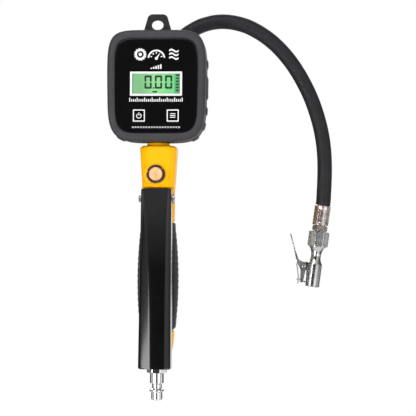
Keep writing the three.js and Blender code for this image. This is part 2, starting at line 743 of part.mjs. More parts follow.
// ---------------------------------------------------------------- hose and chuck

function hoseTube() {
  const curve = new THREE.CatmullRomCurve3(HOSE_ROUTE.map((point) => new THREE.Vector3(...point)));
  const section = superellipse(HOSE_R, HOSE_R, 2, 10);
  const settings = { steps: 30, bevelEnabled: false, extrudePath: curve };
  return solid(new THREE.ExtrudeGeometry(section, settings));
}

function buildHose() {
  const adaptor = join(
    rodZ(5.3, -98, PORT_TOP + 1.2, 0, PORT_Y, 20),
    slabZ(nutShape(14), PORT_TOP + 1.1, -76.2, 0, PORT_Y),
    rodZ(3.4, -76.3, -58, 0, PORT_Y, 16),
  );
  part("hose_adaptor", cut(adaptor, rodZ(2, -100, -50, 0, PORT_Y, 12)), brass);
  part("body_ferrule", ringZ(7.4, 3.6, -76, HOSE_START - GAP, 0, PORT_Y), nickel);
  part("hose", hoseTube(), hoseRubber);
}

function chuckBody() {
  const outline = [
    [3, CHUCK_NUT_TOP],
    [8.4, CHUCK_NUT_TOP],
    [8.4, CHUCK_NUT_END],
    [6.2, -37.2],
    [4.5, -40.5],
    [4.2, -44],
    [4.8, -47],
    [6.5, -50],
    [6.5, CHUCK_MOUTH],
    [4.4, CHUCK_MOUTH],
    [4.4, -55],
    [3, -55],
    [3, CHUCK_NUT_TOP],
  ];
  const nut = cut(
    slabZ(nutShape(CHUCK_FLATS, 8), CHUCK_NUT_END, CHUCK_NUT_TOP),
    rodZ(3.1, CHUCK_NUT_END - 1, CHUCK_NUT_TOP + 1),
  );
  const earShape = polygon([[-5.9, -49.6], [-11.2, -50.6], [-11.8, -53.6], [-10, -56], [-5.9, -57.5]]);
  const ears = [-3, 1.9].map((front) => slabY(earShape, front, front + 1.1));
  const notches = [...Array(8).keys()].map((i) =>
    box(4.2, 8, -0.9, 0.9, CHUCK_MOUTH - 1, CHUCK_MOUTH + 1).rotate([0, 0, 45 * i + 22.5]));
  return cut(
    join(turned(outline), nut, ...ears),
    box(-8, -3.4, -2.9, 2.9, CHUCK_MOUTH - 1, -61),
    rodY(1.05, -5, 5, CLIP_X, CLIP_Z, 12),
    ...notches,
  );
}

function clipLever() {
  const side = polygon([
    [-25.2, -27.4],
    [-24.1, -27],
    [-18.6, -40.6],
    [-14.2, -49.4],
    [-8.2, -50.2],
    [-7.4, -57],
    [-8.4, -66],
    [-8.2, -68.2],
    [-10.9, -68.2],
    [-11.6, -58],
    [-14.6, -53.4],
    [-16.2, -49.8],
    [-19.7, -41],
  ]);
  const outer = slabY(side, -4.4, 4.4);
  const inside = slabY(polygon([
    [-10, -72],
    [-10.2, -58],
    [-12.6, -53.6],
    [-14.2, -50.8],
    [-12, -46],
    [0, -40],
    [0, -72],
  ]), -3.3, 3.3);
  const jaw = slabY(polygon([[-10.4, -66.6], [-4.8, -66.9], [-4.6, -67.5], [-10.4, -68.2]]), -2.4, 2.4);
  return cut(join(cut(outer, inside), jaw), rodY(1 + GAP, -6, 6, CLIP_X, CLIP_Z, 12));
}

function buildChuck() {
  const group = new THREE.Group();
  group.position.set(CHUCK_X, PORT_Y, CHUCK_Z);
  group.rotation.y = radians(CHUCK_TILT);
  root.add(group);
  const crimp = [
    [3.6, 0],
    [6.6, 0],
    [6.8, -1],
    [6.4, -6],
    [6.7, -12],
    [6.4, -17],
    [3.6, -17],
    [3.6, 0],
  ];
  part("hose_ferrule", turned(crimp), nickel, group);
  const nipple = join(
    rodZ(3.3, -17.4, -1.5, 0, 0, 16),
    slabZ(nutShape(11), -22, -17.3),
    rodZ(2.8, -33, -21.9, 0, 0, 16),
  );
  part("chuck_nipple", cut(nipple, rodZ(1.4, -34, 0, 0, 0, 12)), brass, group);
  part("chuck_body", chuckBody(), chrome, group);
  part("chuck_seal", ringZ(4.1, 1.9, -58.2, -55.3, 0, 0, 20), sealRubber, group);
  part("chuck_core", join(
    rodZ(1.2, -61, -52, 0, 0, 12),
    rodZ(2.7, -52.1, -50.6, 0, 0, 16),
  ), brass, group);
  part("clip_lever", clipLever(), steel, group);
  part("clip_pin", rodY(1, -5, 5, CLIP_X, CLIP_Z, 12), steel, group);
  const leaf = polygon([
    [-16.2, -52],
    [-15.5, -51.7],
    [-12.3, -64],
    [-12.2, -70],
    [-12.9, -70],
    [-13, -64.2],
  ]);
  part("clip_spring", slabY(leaf, -1.4, 1.4), steel, group);
}

buildHead();
buildBody();
buildLever();
buildInlet();
buildHose();
buildChuck();

export default root;
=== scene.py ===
"""Looks of a hand-held tyre inflator with a digital gauge head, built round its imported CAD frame.

Lengths are millimetres in this script and become metres when a mesh is made.
"""
import json
from math import copysign, cos, dist, exp, pi, radians, sin, sqrt

import bmesh
import bpy
from mathutils import Matrix, Vector


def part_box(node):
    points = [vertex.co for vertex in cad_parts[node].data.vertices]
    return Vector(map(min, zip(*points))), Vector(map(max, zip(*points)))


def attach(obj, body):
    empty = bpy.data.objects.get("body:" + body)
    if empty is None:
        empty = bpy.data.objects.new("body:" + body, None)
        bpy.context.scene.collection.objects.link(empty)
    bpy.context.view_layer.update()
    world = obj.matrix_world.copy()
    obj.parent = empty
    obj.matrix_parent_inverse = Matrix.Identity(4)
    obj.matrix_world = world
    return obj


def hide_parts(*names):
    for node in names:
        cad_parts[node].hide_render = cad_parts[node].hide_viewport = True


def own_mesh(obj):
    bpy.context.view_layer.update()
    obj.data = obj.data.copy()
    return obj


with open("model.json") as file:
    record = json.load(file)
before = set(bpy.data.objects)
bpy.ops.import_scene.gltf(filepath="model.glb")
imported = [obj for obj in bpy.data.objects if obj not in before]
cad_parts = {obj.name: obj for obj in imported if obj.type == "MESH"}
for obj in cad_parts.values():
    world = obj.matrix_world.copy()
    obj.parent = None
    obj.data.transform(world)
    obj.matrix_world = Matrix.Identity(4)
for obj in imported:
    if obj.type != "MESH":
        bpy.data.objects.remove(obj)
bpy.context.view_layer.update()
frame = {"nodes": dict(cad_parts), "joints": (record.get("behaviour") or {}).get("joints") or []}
MM = 0.001
TURN = 2 * pi
NODES = frame["nodes"]
JOINTS = {joint["name"]: joint for joint in frame["joints"]}


# ------------------------------ frame measures

def extent(node):
    """Lowest and highest corner of a CAD node, in millimetres."""
    low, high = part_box(node)
    return Vector(low) / MM, Vector(high) / MM


def middle(node):
    low, high = extent(node)
    return (low + high) / 2


BOOT_LOW, BOOT_HIGH = extent("gauge_boot")
HEAD_Z = (BOOT_LOW.z + BOOT_HIGH.z) / 2
HEAD_HALF_H = (BOOT_HIGH.z - BOOT_LOW.z) / 2
HEAD_HALF_W = 41.8
HEAD_POWER = 4.6
FACE_LOW, FACE_HIGH = extent("face_panel")
FACE_HALF_W = (FACE_HIGH.x - FACE_LOW.x) / 2
FACE_HALF_H = (FACE_HIGH.z - FACE_LOW.z) / 2
PIVOT = Vector(JOINTS["lever_hinge"]["pos_m"]) / MM
BLEED = middle("bleed_collar")
VALVE = middle("valve_stem")
PLUG = middle("inlet_plug")
PORT = middle("body_ferrule")
LEVER_TILT = 4
CHUCK_TILT = 7.6
CHUCK_TOP = Vector((142.1, PORT.y, -153.3))
CLIP_X, CLIP_Z = -9.4, -53.4  # The clip's pin, from the top of the chuck.
NUT_ACROSS = 17
AXIS = 0.01  # Radius at which a solid turned profile ends, just off its own axis.

# The hose's centre line, from the ferrule behind the head to the chuck.
HOSE_ROUTE = [(x * MM, PORT.y * MM, z * MM) for x, z in (
    (0, -56.7), (0.1, -48), (1.2, -36), (5.2, -24), (12.2, -13.2), (21.5, -4.2), (32.3, 2.4),
    (43, 6.1), (54, 7.3), (65, 6.1), (76, 2.8), (86.5, -2.7), (96.2, -9.6), (104.9, -17.8),
    (112.9, -27.3), (119.7, -37.3), (125.6, -47.7), (131, -59), (135.3, -70.5), (138.8, -82.3),
    (141.3, -94.2), (142.8, -106), (143.4, -118.4), (143.3, -130.5), (142.8, -142.6),
    (142.6, -147.8), (142.1, -152.4), (141.6, -156.6))]
HOSE_DIAMETER = 12.7


# ------------------------------ material nodes

FINISHES = {}
EVEN = (1, 1, 1)
MID_RANGE = (0.35, 0.65)  # Where most of a noise texture's values lie.
SHARP_RANGE = (0.53, 0.6)  # Pointiness of an edge that is rubbed.
FIRST_COLOR, SECOND_COLOR, MIXED_COLOR = 6, 7, 2  # Sockets of a mix node for colours.


def new_node(tree, kind, sources=(), **values):
    """Shader node; sources feed its inputs, and each keyword is an input's value or else a setting."""
    made = tree.nodes.new(kind)
    for key, value in values.items():
        if key in made.inputs:
            made.inputs[key].default_value = value
        else:
            setattr(made, key, value)
    for target, source in dict(sources).items():
        tree.links.new(source, made.inputs[target])
    return made


class Finish:
    """A node material built round one Principled shader, and kept by name in FINISHES."""

    def __init__(self, name, color, roughness=0.5, metallic=0.0, **inputs):
        self.material = bpy.data.materials.new(name)
        self.material.use_nodes = True
        self.tree = self.material.node_tree
        self.shader = self.tree.nodes["Principled BSDF"]
        self.base = (*color, 1)
        self.set("Base Color", self.base)
        self.set("Roughness", roughness)
        self.set("Metallic", metallic)
        for key, value in inputs.items():
            self.set(key.replace("_", " "), value)
        self.material.diffuse_color = self.base
        self.height = None
        FINISHES[name] = self

    def set(self, socket, value):
        self.shader.inputs[socket].default_value = value

    def node(self, kind, sources=(), **values):
        return new_node(self.tree, kind, sources, **values)

    def link(self, source, target):
        self.tree.links.new(source, target)

    def position(self):
        """Object-space position, in metres."""
        return self.node("ShaderNodeTexCoord").outputs["Object"]

    def axes(self):
        """Position as separate X, Y and Z."""
        return self.node("ShaderNodeSeparateXYZ", {0: self.position()}).outputs

    def noise(self, scale, detail=4.0, stretch=EVEN):
        where = self.node("ShaderNodeMapping", {0: self.position()}, Scale=stretch).outputs[0]
        made = self.node("ShaderNodeTexNoise", {0: where}, Scale=scale, Detail=detail, Roughness=0.55)
        return made.outputs["Fac"]

    def ramp(self, source, low, high, at=MID_RANGE):
        """Spreads the range at of the source over low to high."""
        limits = zip(("From Min", "From Max", "To Min", "To Max"), (*at, low, high))
        return self.node("ShaderNodeMapRange", {0: source}, **dict(limits)).outputs["Result"]

    def maths(self, operation, first, second, clamp=False):
        made = self.node("ShaderNodeMath", {0: first, 1: second}, operation=operation, use_clamp=clamp)
        return made.outputs[0]

    def mixed_shader(self, factor, first, second):
        return self.node("ShaderNodeMixShader", {0: factor, 1: first, 2: second}).outputs[0]

    def surface(self, shader):
        self.link(shader, self.tree.nodes["Material Output"].inputs["Surface"])

    def mix_color(self, factor, other):
        """Blends the base colour towards other by factor, on top of what is there."""
        mix = self.node("ShaderNodeMix", {0: factor}, data_type="RGBA")
        socket = self.shader.inputs["Base Color"]
        if socket.links:
            self.link(socket.links[0].from_socket, mix.inputs[FIRST_COLOR])
        else:
            mix.inputs[FIRST_COLOR].default_value = self.base
        mix.inputs[SECOND_COLOR].default_value = (*other, 1)
        self.link(mix.outputs[MIXED_COLOR], socket)

    def mottle(self, other, scale, amount=0.5, stretch=EVEN):
        self.mix_color(self.ramp(self.noise(scale, stretch=stretch), 0, amount), other)

    def vary_roughness(self, low, high, scale, stretch=EVEN):
        self.link(self.ramp(self.noise(scale, stretch=stretch), low, high), self.shader.inputs["Roughness"])

    def edge_wear(self, other, amount):
        """Lighter or barer colour on the edges that hands and tools rub."""
        point = self.node("ShaderNodeNewGeometry").outputs["Pointiness"]
        edges = self.ramp(point, 0, amount, SHARP_RANGE)
        patches = self.ramp(self.noise(350), 0.3, 1)
        self.mix_color(self.maths("MULTIPLY", edges, patches), other)

    def bump(self, source, strength, distance):
        """Adds a height layer; layers stack in the order they are made."""
        made = self.node("ShaderNodeBump", {"Height": source}, Strength=strength, Distance=distance)
        if self.height is not None:
            self.link(self.height, made.inputs["Normal"])
        self.height = made.outputs["Normal"]
        self.link(self.height, self.shader.inputs["Normal"])

    def grain(self, scale, strength, distance=0.0001, detail=5.0, stretch=EVEN):
        self.bump(self.noise(scale, detail, stretch), strength, distance)

    def weather(self, mottle=None, spread=None, wear=None, grains=()):
        """Mottle (colour, scale, amount), spread of roughness (low, high, scale), worn edges and grains."""
        if mottle:
            self.mottle(*mottle)
        if spread:
            self.vary_roughness(*spread)
        if wear:
            self.edge_wear(*wear)
        for grain in grains:
            self.grain(*grain)


def add(name, color, roughness, metallic=0.0, mottle=None, spread=None, wear=None, grains=(), **inputs):
    Finish(name, color, roughness, metallic, **inputs).weather(mottle, spread, wear, grains)


def make_finishes():
    add("boot_rubber", (0.036, 0.036, 0.041), 0.55, mottle=((0.028, 0.028, 0.032), 60),
        spread=(0.5, 0.68, 140), wear=((0.1, 0.1, 0.11), 0.45), grains=[(2600, 0.25), (700, 0.12, 0.0002)],
        Specular_IOR_Level=0.45)
    add("grip_rubber", (0.035, 0.035, 0.038), 0.6, mottle=((0.026, 0.026, 0.028), 50),
        spread=(0.52, 0.72, 160), wear=((0.09, 0.09, 0.095), 0.45), grains=[(2400, 0.3), (500, 0.15, 0.0003)],
        Specular_IOR_Level=0.4)
    add("case_plastic", (0.013, 0.013, 0.015), 0.5, mottle=((0.018, 0.018, 0.02), 40),
        spread=(0.42, 0.58, 200), wear=((0.08, 0.08, 0.085), 0.4), grains=[(1800, 0.35, 0.00012)],
        Specular_IOR_Level=0.3)
    add("face_gloss", (0.0035, 0.0035, 0.0038), 0.08, spread=(0.05, 0.13, 45), grains=[(90, 0.03, 0.0003, 2)],
        Coat_Weight=0.5, Coat_Roughness=0.04)
    add("white_print", (0.8, 0.8, 0.79), 0.35, mottle=((0.7, 0.7, 0.69), 300), grains=[(3000, 0.1)])
    add("grey_print", (0.45, 0.45, 0.45), 0.4, mottle=((0.36, 0.36, 0.36), 300), grains=[(3000, 0.1)])
    add("lcd_ink", (0.003, 0.04, 0.01), 0.4, mottle=((0.006, 0.055, 0.016), 500))
    add("circuit_board", (0.01, 0.1, 0.04), 0.35, mottle=((0.01, 0.14, 0.05), 400, 0.5, (1, 1, 6)),
        grains=[(900, 0.2)])
    add("cell_sleeve", (0.42, 0.43, 0.46), 0.35, 0.4, mottle=((0.3, 0.31, 0.33), 60), grains=[(800, 0.1)])
    add("yellow_paint", (0.96, 0.44, 0.0), 0.4, mottle=((0.95, 0.43, 0.0), 25), spread=(0.3, 0.42, 120),
        wear=((1.0, 0.56, 0.03), 0.5), grains=[(420, 0.1, 0.0002, 2)],
        Specular_IOR_Level=0.1, Coat_Weight=0.05, Coat_Roughness=0.1)
    add("chrome", (0.74, 0.75, 0.77), 0.1, 1.0, mottle=((0.74, 0.75, 0.78), 120), spread=(0.07, 0.13, 220),
        grains=[(1500, 0.02)])
    add("satin_chrome", (0.66, 0.67, 0.67), 0.2, 1.0, mottle=((0.55, 0.56, 0.56), 160, 0.6),
        spread=(0.14, 0.26, 260), wear=((0.85, 0.86, 0.88), 0.4), grains=[(1300, 0.03)])
    add("bright_steel", (0.56, 0.56, 0.58), 0.25, 1.0, mottle=((0.42, 0.42, 0.44), 200),
        spread=(0.18, 0.34, 300), grains=[(1600, 0.1)])
    add("spring_steel", (0.72, 0.71, 0.7), 0.27, 1.0, mottle=((0.58, 0.57, 0.56), 140, 0.7),
        spread=(0.2, 0.38, 260, (1, 1, 0.2)), wear=((0.75, 0.75, 0.75), 0.5),
        grains=[(900, 0.12, 0.0001, 5.0, (1, 1, 0.1))])
    add("brass", (0.72, 0.5, 0.22), 0.24, 1.0, mottle=((0.6, 0.4, 0.17), 150), spread=(0.18, 0.34, 300),
        grains=[(1400, 0.08)])
    # Its lighter rubbed edges are partly wear and partly a painted highlight on the ring's lip.
    add("ring_alloy", (0.11, 0.05, 0.055), 0.26, 0.7, mottle=((0.17, 0.09, 0.09), 180),
        spread=(0.2, 0.34, 260), wear=((0.55, 0.42, 0.42), 0.6), grains=[(1500, 0.06)])
    add("nickel_crimp", (0.95, 0.86, 0.82), 0.26, 1.0, mottle=((0.82, 0.66, 0.6), 130, 0.7),
        spread=(0.2, 0.36, 240), wear=((0.95, 0.9, 0.86), 0.5), grains=[(900, 0.05)])
    add("seal_rubber", (0.012, 0.012, 0.012), 0.6, mottle=((0.02, 0.02, 0.02), 300), grains=[(1500, 0.2)])
    make_black_paint()
    make_copper_cap()
    make_hose_rubber()
    make_lcd_glass()
    make_lens()


def make_black_paint():
    """Gloss black, with a painted sheen: lighter grey towards the pivot, right of a slanted line down its
    left facet.
    """
    finish = Finish("black_paint", (0.0016, 0.0016, 0.0016), 0.32, Specular_IOR_Level=0.06, Coat_Weight=1.0,
                    Coat_Roughness=0.13)
    slanted = finish.node("ShaderNodeVectorMath", {0: finish.position()}, operation="DOT_PRODUCT")
    slanted.inputs[1].default_value = (1, 0, 0.122)
    # Painted sheen: the grey mixed in here stands in for the reflection that lightens the crest near the
    # pivot.
    painted_sheen_near_pivot = finish.ramp(finish.axes()["Z"], 0, 1, ((PIVOT.z - 62) * MM, (PIVOT.z + 5) * MM))
    painted_sheen_right_of_line = finish.ramp(slanted.outputs["Value"], 0.1, 1, (-0.0307, -0.0295))
    finish.mix_color(finish.maths("MULTIPLY", painted_sheen_near_pivot, painted_sheen_right_of_line), (0.021, 0.0205, 0.0205))
    finish.weather(((0.006, 0.006, 0.0065), 30, 0.3), (0.28, 0.36, 90), ((0.05, 0.05, 0.052), 0.5),
                   [(500, 0.07, 0.0002, 2)])


def make_copper_cap():
    """Turned copper-coloured disc: fine circles round the button's axis."""
    finish = Finish("copper_cap", (0.8, 0.48, 0.22), 0.36, 0.25)
    shift = finish.node("ShaderNodeMapping", {0: finish.position()}, Location=tuple(-BLEED * MM))
    rings = finish.node("ShaderNodeTexWave", {0: shift.outputs[0]}, wave_type="RINGS", rings_direction="Y",
                        Scale=900.0, Distortion=0.6)
    finish.weather(((0.88, 0.6, 0.32), 220, 0.6), (0.24, 0.38, 300))
    finish.bump(rings.outputs["Fac"], 0.12, 0.00004)


def make_hose_rubber():
    """Black rubber with the fine diagonal print that a cloth wrap leaves while the hose cures."""
    finish = Finish("hose_rubber", (0.011, 0.011, 0.013), 0.5, Specular_IOR_Level=0.3)
    where = finish.node("ShaderNodeUVMap", uv_map="round_and_along").outputs[0]
    for turn in (45, -45):
        slanted = finish.node("ShaderNodeMapping", {0: where}, Rotation=(0, 0, radians(turn))).outputs[0]
        threads = finish.node("ShaderNodeTexWave", {0: slanted}, Scale=11.0, Distortion=0.7, Detail=1.5)
        finish.bump(threads.outputs["Fac"], 0.3, 0.00012)
    finish.weather(((0.017, 0.017, 0.019), 90, 0.7), (0.42, 0.62, 150), grains=[(900, 0.2)])


def make_lcd_glass():
    """Green reflective glass: palest behind the digits and bluer to the right, with painted shade from the
    surround darkening its left and right edges, and a painted glow.
    """
    finish = Finish("lcd_glass", (0.05, 0.17, 0.1), 0.4)
    across = finish.axes()["X"]
    # The dark base at the left edge and the last, darker stop at the right edge are painted shade from the
    # surround.
    for start, end, color in ((-0.0212, -0.0186, (0.17, 0.4, 0.19)), (-0.013, -0.002, (0.25, 0.55, 0.25)),
                              (0.002, 0.012, (0.14, 0.54, 0.21)), (0.0145, 0.0165, (0.06, 0.3, 0.11))):
        finish.mix_color(finish.ramp(across, 0, 1, (start, end)), color)
    finish.mottle((0.22, 0.5, 0.24), 120, 0.25)
    inputs = finish.shader.inputs
    # Painted glow: the glass gives off its own colour, with no lamp behind it.
    finish.link(inputs["Base Color"].links[0].from_socket, inputs["Emission Color"])
    finish.set("Emission Strength", 0.22)


def make_lens():
    """Thin clear window: mostly straight through, with a faint gloss."""
    finish = Finish("display_lens", (1, 1, 1), 0.05)
    clear = finish.node("ShaderNodeBsdfTransparent", Color=(0.97, 0.985, 0.975, 1))
    gloss = finish.node("ShaderNodeBsdfGlossy", {"Roughness": finish.ramp(finish.noise(200), 0.03, 0.09)})
    share = finish.ramp(finish.noise(30), 0.02, 0.04)
    finish.surface(finish.mixed_shader(share, clear.outputs[0], gloss.outputs[0]))


make_finishes()


# ------------------------------ mesh tools

SHARP_EDGE = 40


def linked(name, data):
    obj = bpy.data.objects.new(name, data)
    bpy.context.scene.collection.objects.link(obj)
    return obj


def new_piece(name, verts, faces):
    mesh = bpy.data.meshes.new(name)
    mesh.from_pydata([tuple(Vector(v) * MM) for v in verts], [], faces)
    mesh.validate()
    return outward(linked(name, mesh))


def outward(obj):
    """Joins corners that coincide and turns every face outward."""
    work = bmesh.new()
    work.from_mesh(obj.data)
    bmesh.ops.remove_doubles(work, verts=work.verts, dist=1e-7)
    bmesh.ops.recalc_face_normals(work, faces=work.faces)
    work.to_mesh(obj.data)
    work.free()
    return obj


def modified(obj, kind, **settings):
    """Adds a modifier and bakes it into the mesh."""
    modifier = obj.modifiers.new(kind.lower(), kind)
    for key, value in settings.items():
        setattr(modifier, key, value)
    graph = bpy.context.evaluated_depsgraph_get()
    mesh = bpy.data.meshes.new_from_object(obj.evaluated_get(graph), preserve_all_data_layers=True,
                                           depsgraph=graph)
    obj.modifiers.clear()
    old, obj.data = obj.data, mesh
    bpy.data.meshes.remove(old)
    return obj


def bevelled(obj, width, segments):
    return modified(obj, "BEVEL", width=width * MM, segments=segments, limit_method="ANGLE",
                    angle_limit=radians(SHARP_EDGE), harden_normals=False)


def without(obj, *cutters):
    for cutter in cutters:
        modified(obj, "BOOLEAN", operation="DIFFERENCE", solver="EXACT", object=cutter)
        bpy.data.objects.remove(cutter)
    return obj


def united(name, *objects):
    """Several closed shells as one piece."""
    work = bmesh.new()
    for obj in objects:
        obj.data.transform(obj.matrix_world)
        work.from_mesh(obj.data)
    mesh = bpy.data.meshes.new(name)
    work.to_mesh(mesh)
    work.free()
    for obj in objects:
        bpy.data.objects.remove(obj)
    return linked(name, mesh)


def moved(obj, matrix):
    """Places an object by a matrix whose lengths are millimetres."""
    placed = Matrix(matrix)
    placed.translation = placed.translation * MM
    obj.data.transform(placed)
    return obj


def finished(obj, finish, *nodes, body="body", slot=None, angle=35, place=None):
    """Material, smooth shading, the CAD nodes it stands for, the body it rides on and its place; slot is not
    used.
    """
    if place:
        moved(obj, place)
    obj.data.materials.clear()
    obj.data.materials.append(FINISHES[finish].material)
    obj.data.shade_smooth()
    obj.data.set_sharp_from_angle(angle=radians(angle))
    modified(obj, "WEIGHTED_NORMAL", keep_sharp=True, weight=60)
    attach(obj, body)
    if nodes:
        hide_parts(*nodes)
    return obj


def superellipse(a, b, power, count):
    points = []
    for i in range(count):
        angle = TURN * (i + 0.5) / count
        c, s = cos(angle), sin(angle)
        points.append((a * copysign(abs(c) ** (2 / power), c), b * copysign(abs(s) ** (2 / power), s)))
    return points


def arc(cx, cy, radius, start, end, steps):
    """Points on an arc, in degrees."""
    angles = [radians(start + (end - start) * i / steps) for i in range(steps + 1)]
    return [(cx + radius * cos(a), cy + radius * sin(a)) for a in angles]


def rounded(points, radius, steps=4, closed=True):
    """Rounds the corners of an outline by up to radius, and by less where its edges are short."""
    most = 0.45
    out = []
    count = len(points)
    for i, point in enumerate(points):
        here = Vector(point)
        if not closed and i in (0, count - 1):
            out.append(tuple(here))
            continue
        before = Vector(points[i - 1]) - here
        after = Vector(points[(i + 1) % count]) - here
        reach = min(radius, before.length * most, after.length * most)
        start = here + before.normalized() * reach
        end = here + after.normalized() * reach
        for k in range(steps + 1):
            t = k / steps
            out.append(tuple(start * (1 - t) ** 2 + here * 2 * t * (1 - t) + end * t * t))
    return out


def both_sides(half):
    """Outline from its right half, front to back."""
    return half + [(-x, y) for x, y in reversed(half)]


def ring_faces(rings, count, closed=False):
    """Quads between rings of count points, and a cap at each end unless the last ring meets the first."""
    faces = []
    for r in range(rings if closed else rings - 1):
        low, high = r * count, ((r + 1) % rings) * count
        for i in range(count):
            k = (i + 1) % count
            faces.append((low + i, low + k, high + k, high + i))
    if not closed:
        faces.append(tuple(range(count))[::-1])
        faces.append(tuple(range((rings - 1) * count, rings * count)))
    return faces


def skin(name, rings, closed=False):
    """Surface through rings of equal length."""
    verts = [point for ring in rings for point in ring]
    return new_piece(name, verts, ring_faces(len(rings), len(rings[0]), closed))


def round_angles(count):
    return [TURN * i / count for i in range(count)]


def turned(name, profile, sides=64, closed=False, shape=None):
    """Profile of (radius, height) turned about Z. Shape may change the radius by angle and height."""
    rings = []
    for radius, height in profile:
        ring = []
        for angle in round_angles(sides):
            r = shape(radius, angle, height) if shape else radius
            ring.append((r * cos(angle), r * sin(angle), height))
        rings.append(ring)
    return skin(name, rings, closed)


def lathe(name, profile, soft, steps, sides, ring=False):
    """Turned profile with its corners rounded by up to soft; a ring has a hole, and the rest are solid."""
    return turned(name, rounded(profile, soft, steps, closed=ring), sides, closed=ring)


def at(x=0.0, y=0.0, z=0.0):
    return Matrix.Translation((x, y, z))


def turned_by(degrees, axis):
    return Matrix.Rotation(radians(degrees), 4, axis)


def along_y(x=0.0, y=0.0, z=0.0):
    """Turns a piece made about Z so that its +Z points along +Y, at the given place."""
    return at(x, y, z) @ turned_by(-90, "X")


def along_x(x=0.0, y=0.0, z=0.0):
    return at(x, y, z) @ turned_by(90, "Y")


def bore(radius, start, end, sides, place=Matrix()):
    """Round cutter about Z, and then placed."""
    return moved(turned("bore", [(radius, start), (radius, end)], sides), place)


def plate(name, outlines, y0, y1, bevel=0.0):
    """Flat plate in X and Z with rounded edges: the first outline is its edge and the rest are holes."""
    curve = bpy.data.curves.new(name, "CURVE")
    curve.dimensions = "2D"
    curve.fill_mode = "BOTH"
    curve.extrude = ((y1 - y0) / 2 - bevel) * MM
    curve.bevel_depth = bevel * MM
    curve.bevel_resolution = 2
    curve.offset = -bevel * MM
    for outline in outlines:
        spline = curve.splines.new("POLY")
        spline.points.add(len(outline) - 1)
        for point, (x, z) in zip(spline.points, outline):
            point.co = (x * MM, z * MM, 0, 1)
        spline.use_cyclic_u = True
    holder = linked(name + "_curve", curve)
    bpy.context.view_layer.update()
    graph = bpy.context.evaluated_depsgraph_get()
    mesh = bpy.data.meshes.new_from_object(holder.evaluated_get(graph))
    bpy.data.objects.remove(holder)
    bpy.data.curves.remove(curve)
    mesh.name = name
    mesh.transform(turned_by(90, "X"))
    mesh.transform(at(0, (y0 + y1) / 2 * MM, 0))
    return outward(linked(name, mesh))


def oblong(x0, x1, z0, z1, radius=0.0):
    points = [(x0, z0), (x1, z0), (x1, z1), (x0, z1)]
    return rounded(points, radius) if radius else points


def around(low, high, margin=0.0, radius=0.0):
    """Oblong round the front view of a box."""
    return oblong(low.x - margin, high.x + margin, low.z - margin, high.z + margin, radius)


def circle(x, z, radius, steps=32):
    return arc(x, z, radius, 0, 360 * (1 - 1 / steps), steps - 1)


def block(name, x0, x1, y0, y1, z0, z1):
    verts = [(x, y, z) for x in (x0, x1) for y in (y0, y1) for z in (z0, z1)]
    faces = [(0, 1, 3, 2), (4, 6, 7, 5), (0, 4, 5, 1), (2, 3, 7, 6), (0, 2, 6, 4), (1, 5, 7, 3)]
    return new_piece(name, verts, faces)


def chamfered_nut(across, z0, z1, chamfer=0.8, turn=0.0, flats=6):
    """Nut with its corners chamfered top and bottom, as a turned bar leaves them, and a flat to the front."""
    half = pi / flats
    inside = across / 2
    corner = inside / cos(half)
    face, shoulder, first = inside * 0.97, inside * 1.05, chamfer * 0.3
    limits = [(face, z0), (shoulder, z0 + first), (corner, z0 + chamfer),
              (corner, z1 - chamfer), (shoulder, z1 - first), (face, z1)]

    def flat_sided(limit, angle, _height):
        off_flat = (angle - radians(turn) - pi / 2 + half) % (2 * half) - half
        return min(inside / cos(off_flat), limit)

    return turned("nut", limits, 96, shape=flat_sided)


def rubber_washer(name, node, inner, outer, z0, z1, y):
    profile = [(inner, z0), (outer, z0), (outer, z1), (inner, z1)]
    finished(lathe(name, profile, 0.25, 3, 64, ring=True), "seal_rubber", node, place=at(0, y, 0))


# ------------------------------ camera, light and floor

VIEW_WIDTH = 353.6  # Millimetres across the picture, at the tool.
VIEW_MIDDLE = Vector((43.7, 0, -155.5))


def make_camera():
    """Looks straight on, with the tool left of the middle and the hose right of it."""
    distance, turn, roll = 0.95, radians(3.5), radians(0.3)
    camera = linked("camera", bpy.data.cameras.new("camera"))
    camera.data.sensor_width = 36
    camera.data.lens = camera.data.sensor_width * distance / (VIEW_WIDTH * MM)
    camera.location = VIEW_MIDDLE * MM + distance * Vector((sin(turn), -cos(turn), 0))
    upright = Matrix.Rotation(turn, 3, "Z") @ Matrix.Rotation(pi / 2, 3, "X")
    camera.rotation_euler = (upright @ Matrix.Rotation(roll, 3, "Z")).to_euler()
    bpy.context.scene.camera = camera


TOOL_MIDDLE = (0.03, 0, -0.15)
HANDLE_MIDDLE = (0, 0, -0.3)
CHUCK_NUT = (0.14, 0.02, -0.18)

# Area lights, in metres: place, what each points at, its two sides, its watts and its roll in degrees.
# The low boxes and cards are small, and each is mirrored by a face of the plug or of the chuck's nut.
LIGHTS = [
    ("key_above", (-0.35, -0.95, 0.9), TOOL_MIDDLE, (0.9, 0.7), 9, 0),
    ("left_low_box", (-0.77, -1.06, -0.54), HANDLE_MIDDLE, (0.5, 0.66), 8.5, 18),
    ("right_low_box", (0.82, -1.02, -0.64), HANDLE_MIDDLE, (0.85, 0.42), 1.6, 0),
    ("front_low_box", (0.14, -1.3, -0.53), HANDLE_MIDDLE, (0.5, 0.3), 0.14, 0),
    ("left_low_card", (-1.24, -0.15, -0.53), HANDLE_MIDDLE, (0.56, 0.2), 0.3, 0),
    ("right_low_card", (1.245, -0.11, -0.55), HANDLE_MIDDLE, (0.56, 0.2), 0.3, 0),
    ("left_nut_card", (-1.114, -0.306, -0.044), CHUCK_NUT, (0.35, 0.16), 0.16, 0),
    ("right_nut_card", (1.382, 0.338, -0.377), CHUCK_NUT, (0.35, 0.16), 0.09, 0),
    ("rear_box", (-0.4, 1.3, 0.7), TOOL_MIDDLE, (1.0, 0.8), 10, 0),
    ("front_fill", (-0.1, -1.5, 0.0), TOOL_MIDDLE, (1.0, 1.0), 8.5, 0),
    ("right_fill", (1.4, -0.35, 0.1), TOOL_MIDDLE, (1.0, 1.0), 11, 0),
]
UNMIRRORED = ("front_fill", "right_fill")


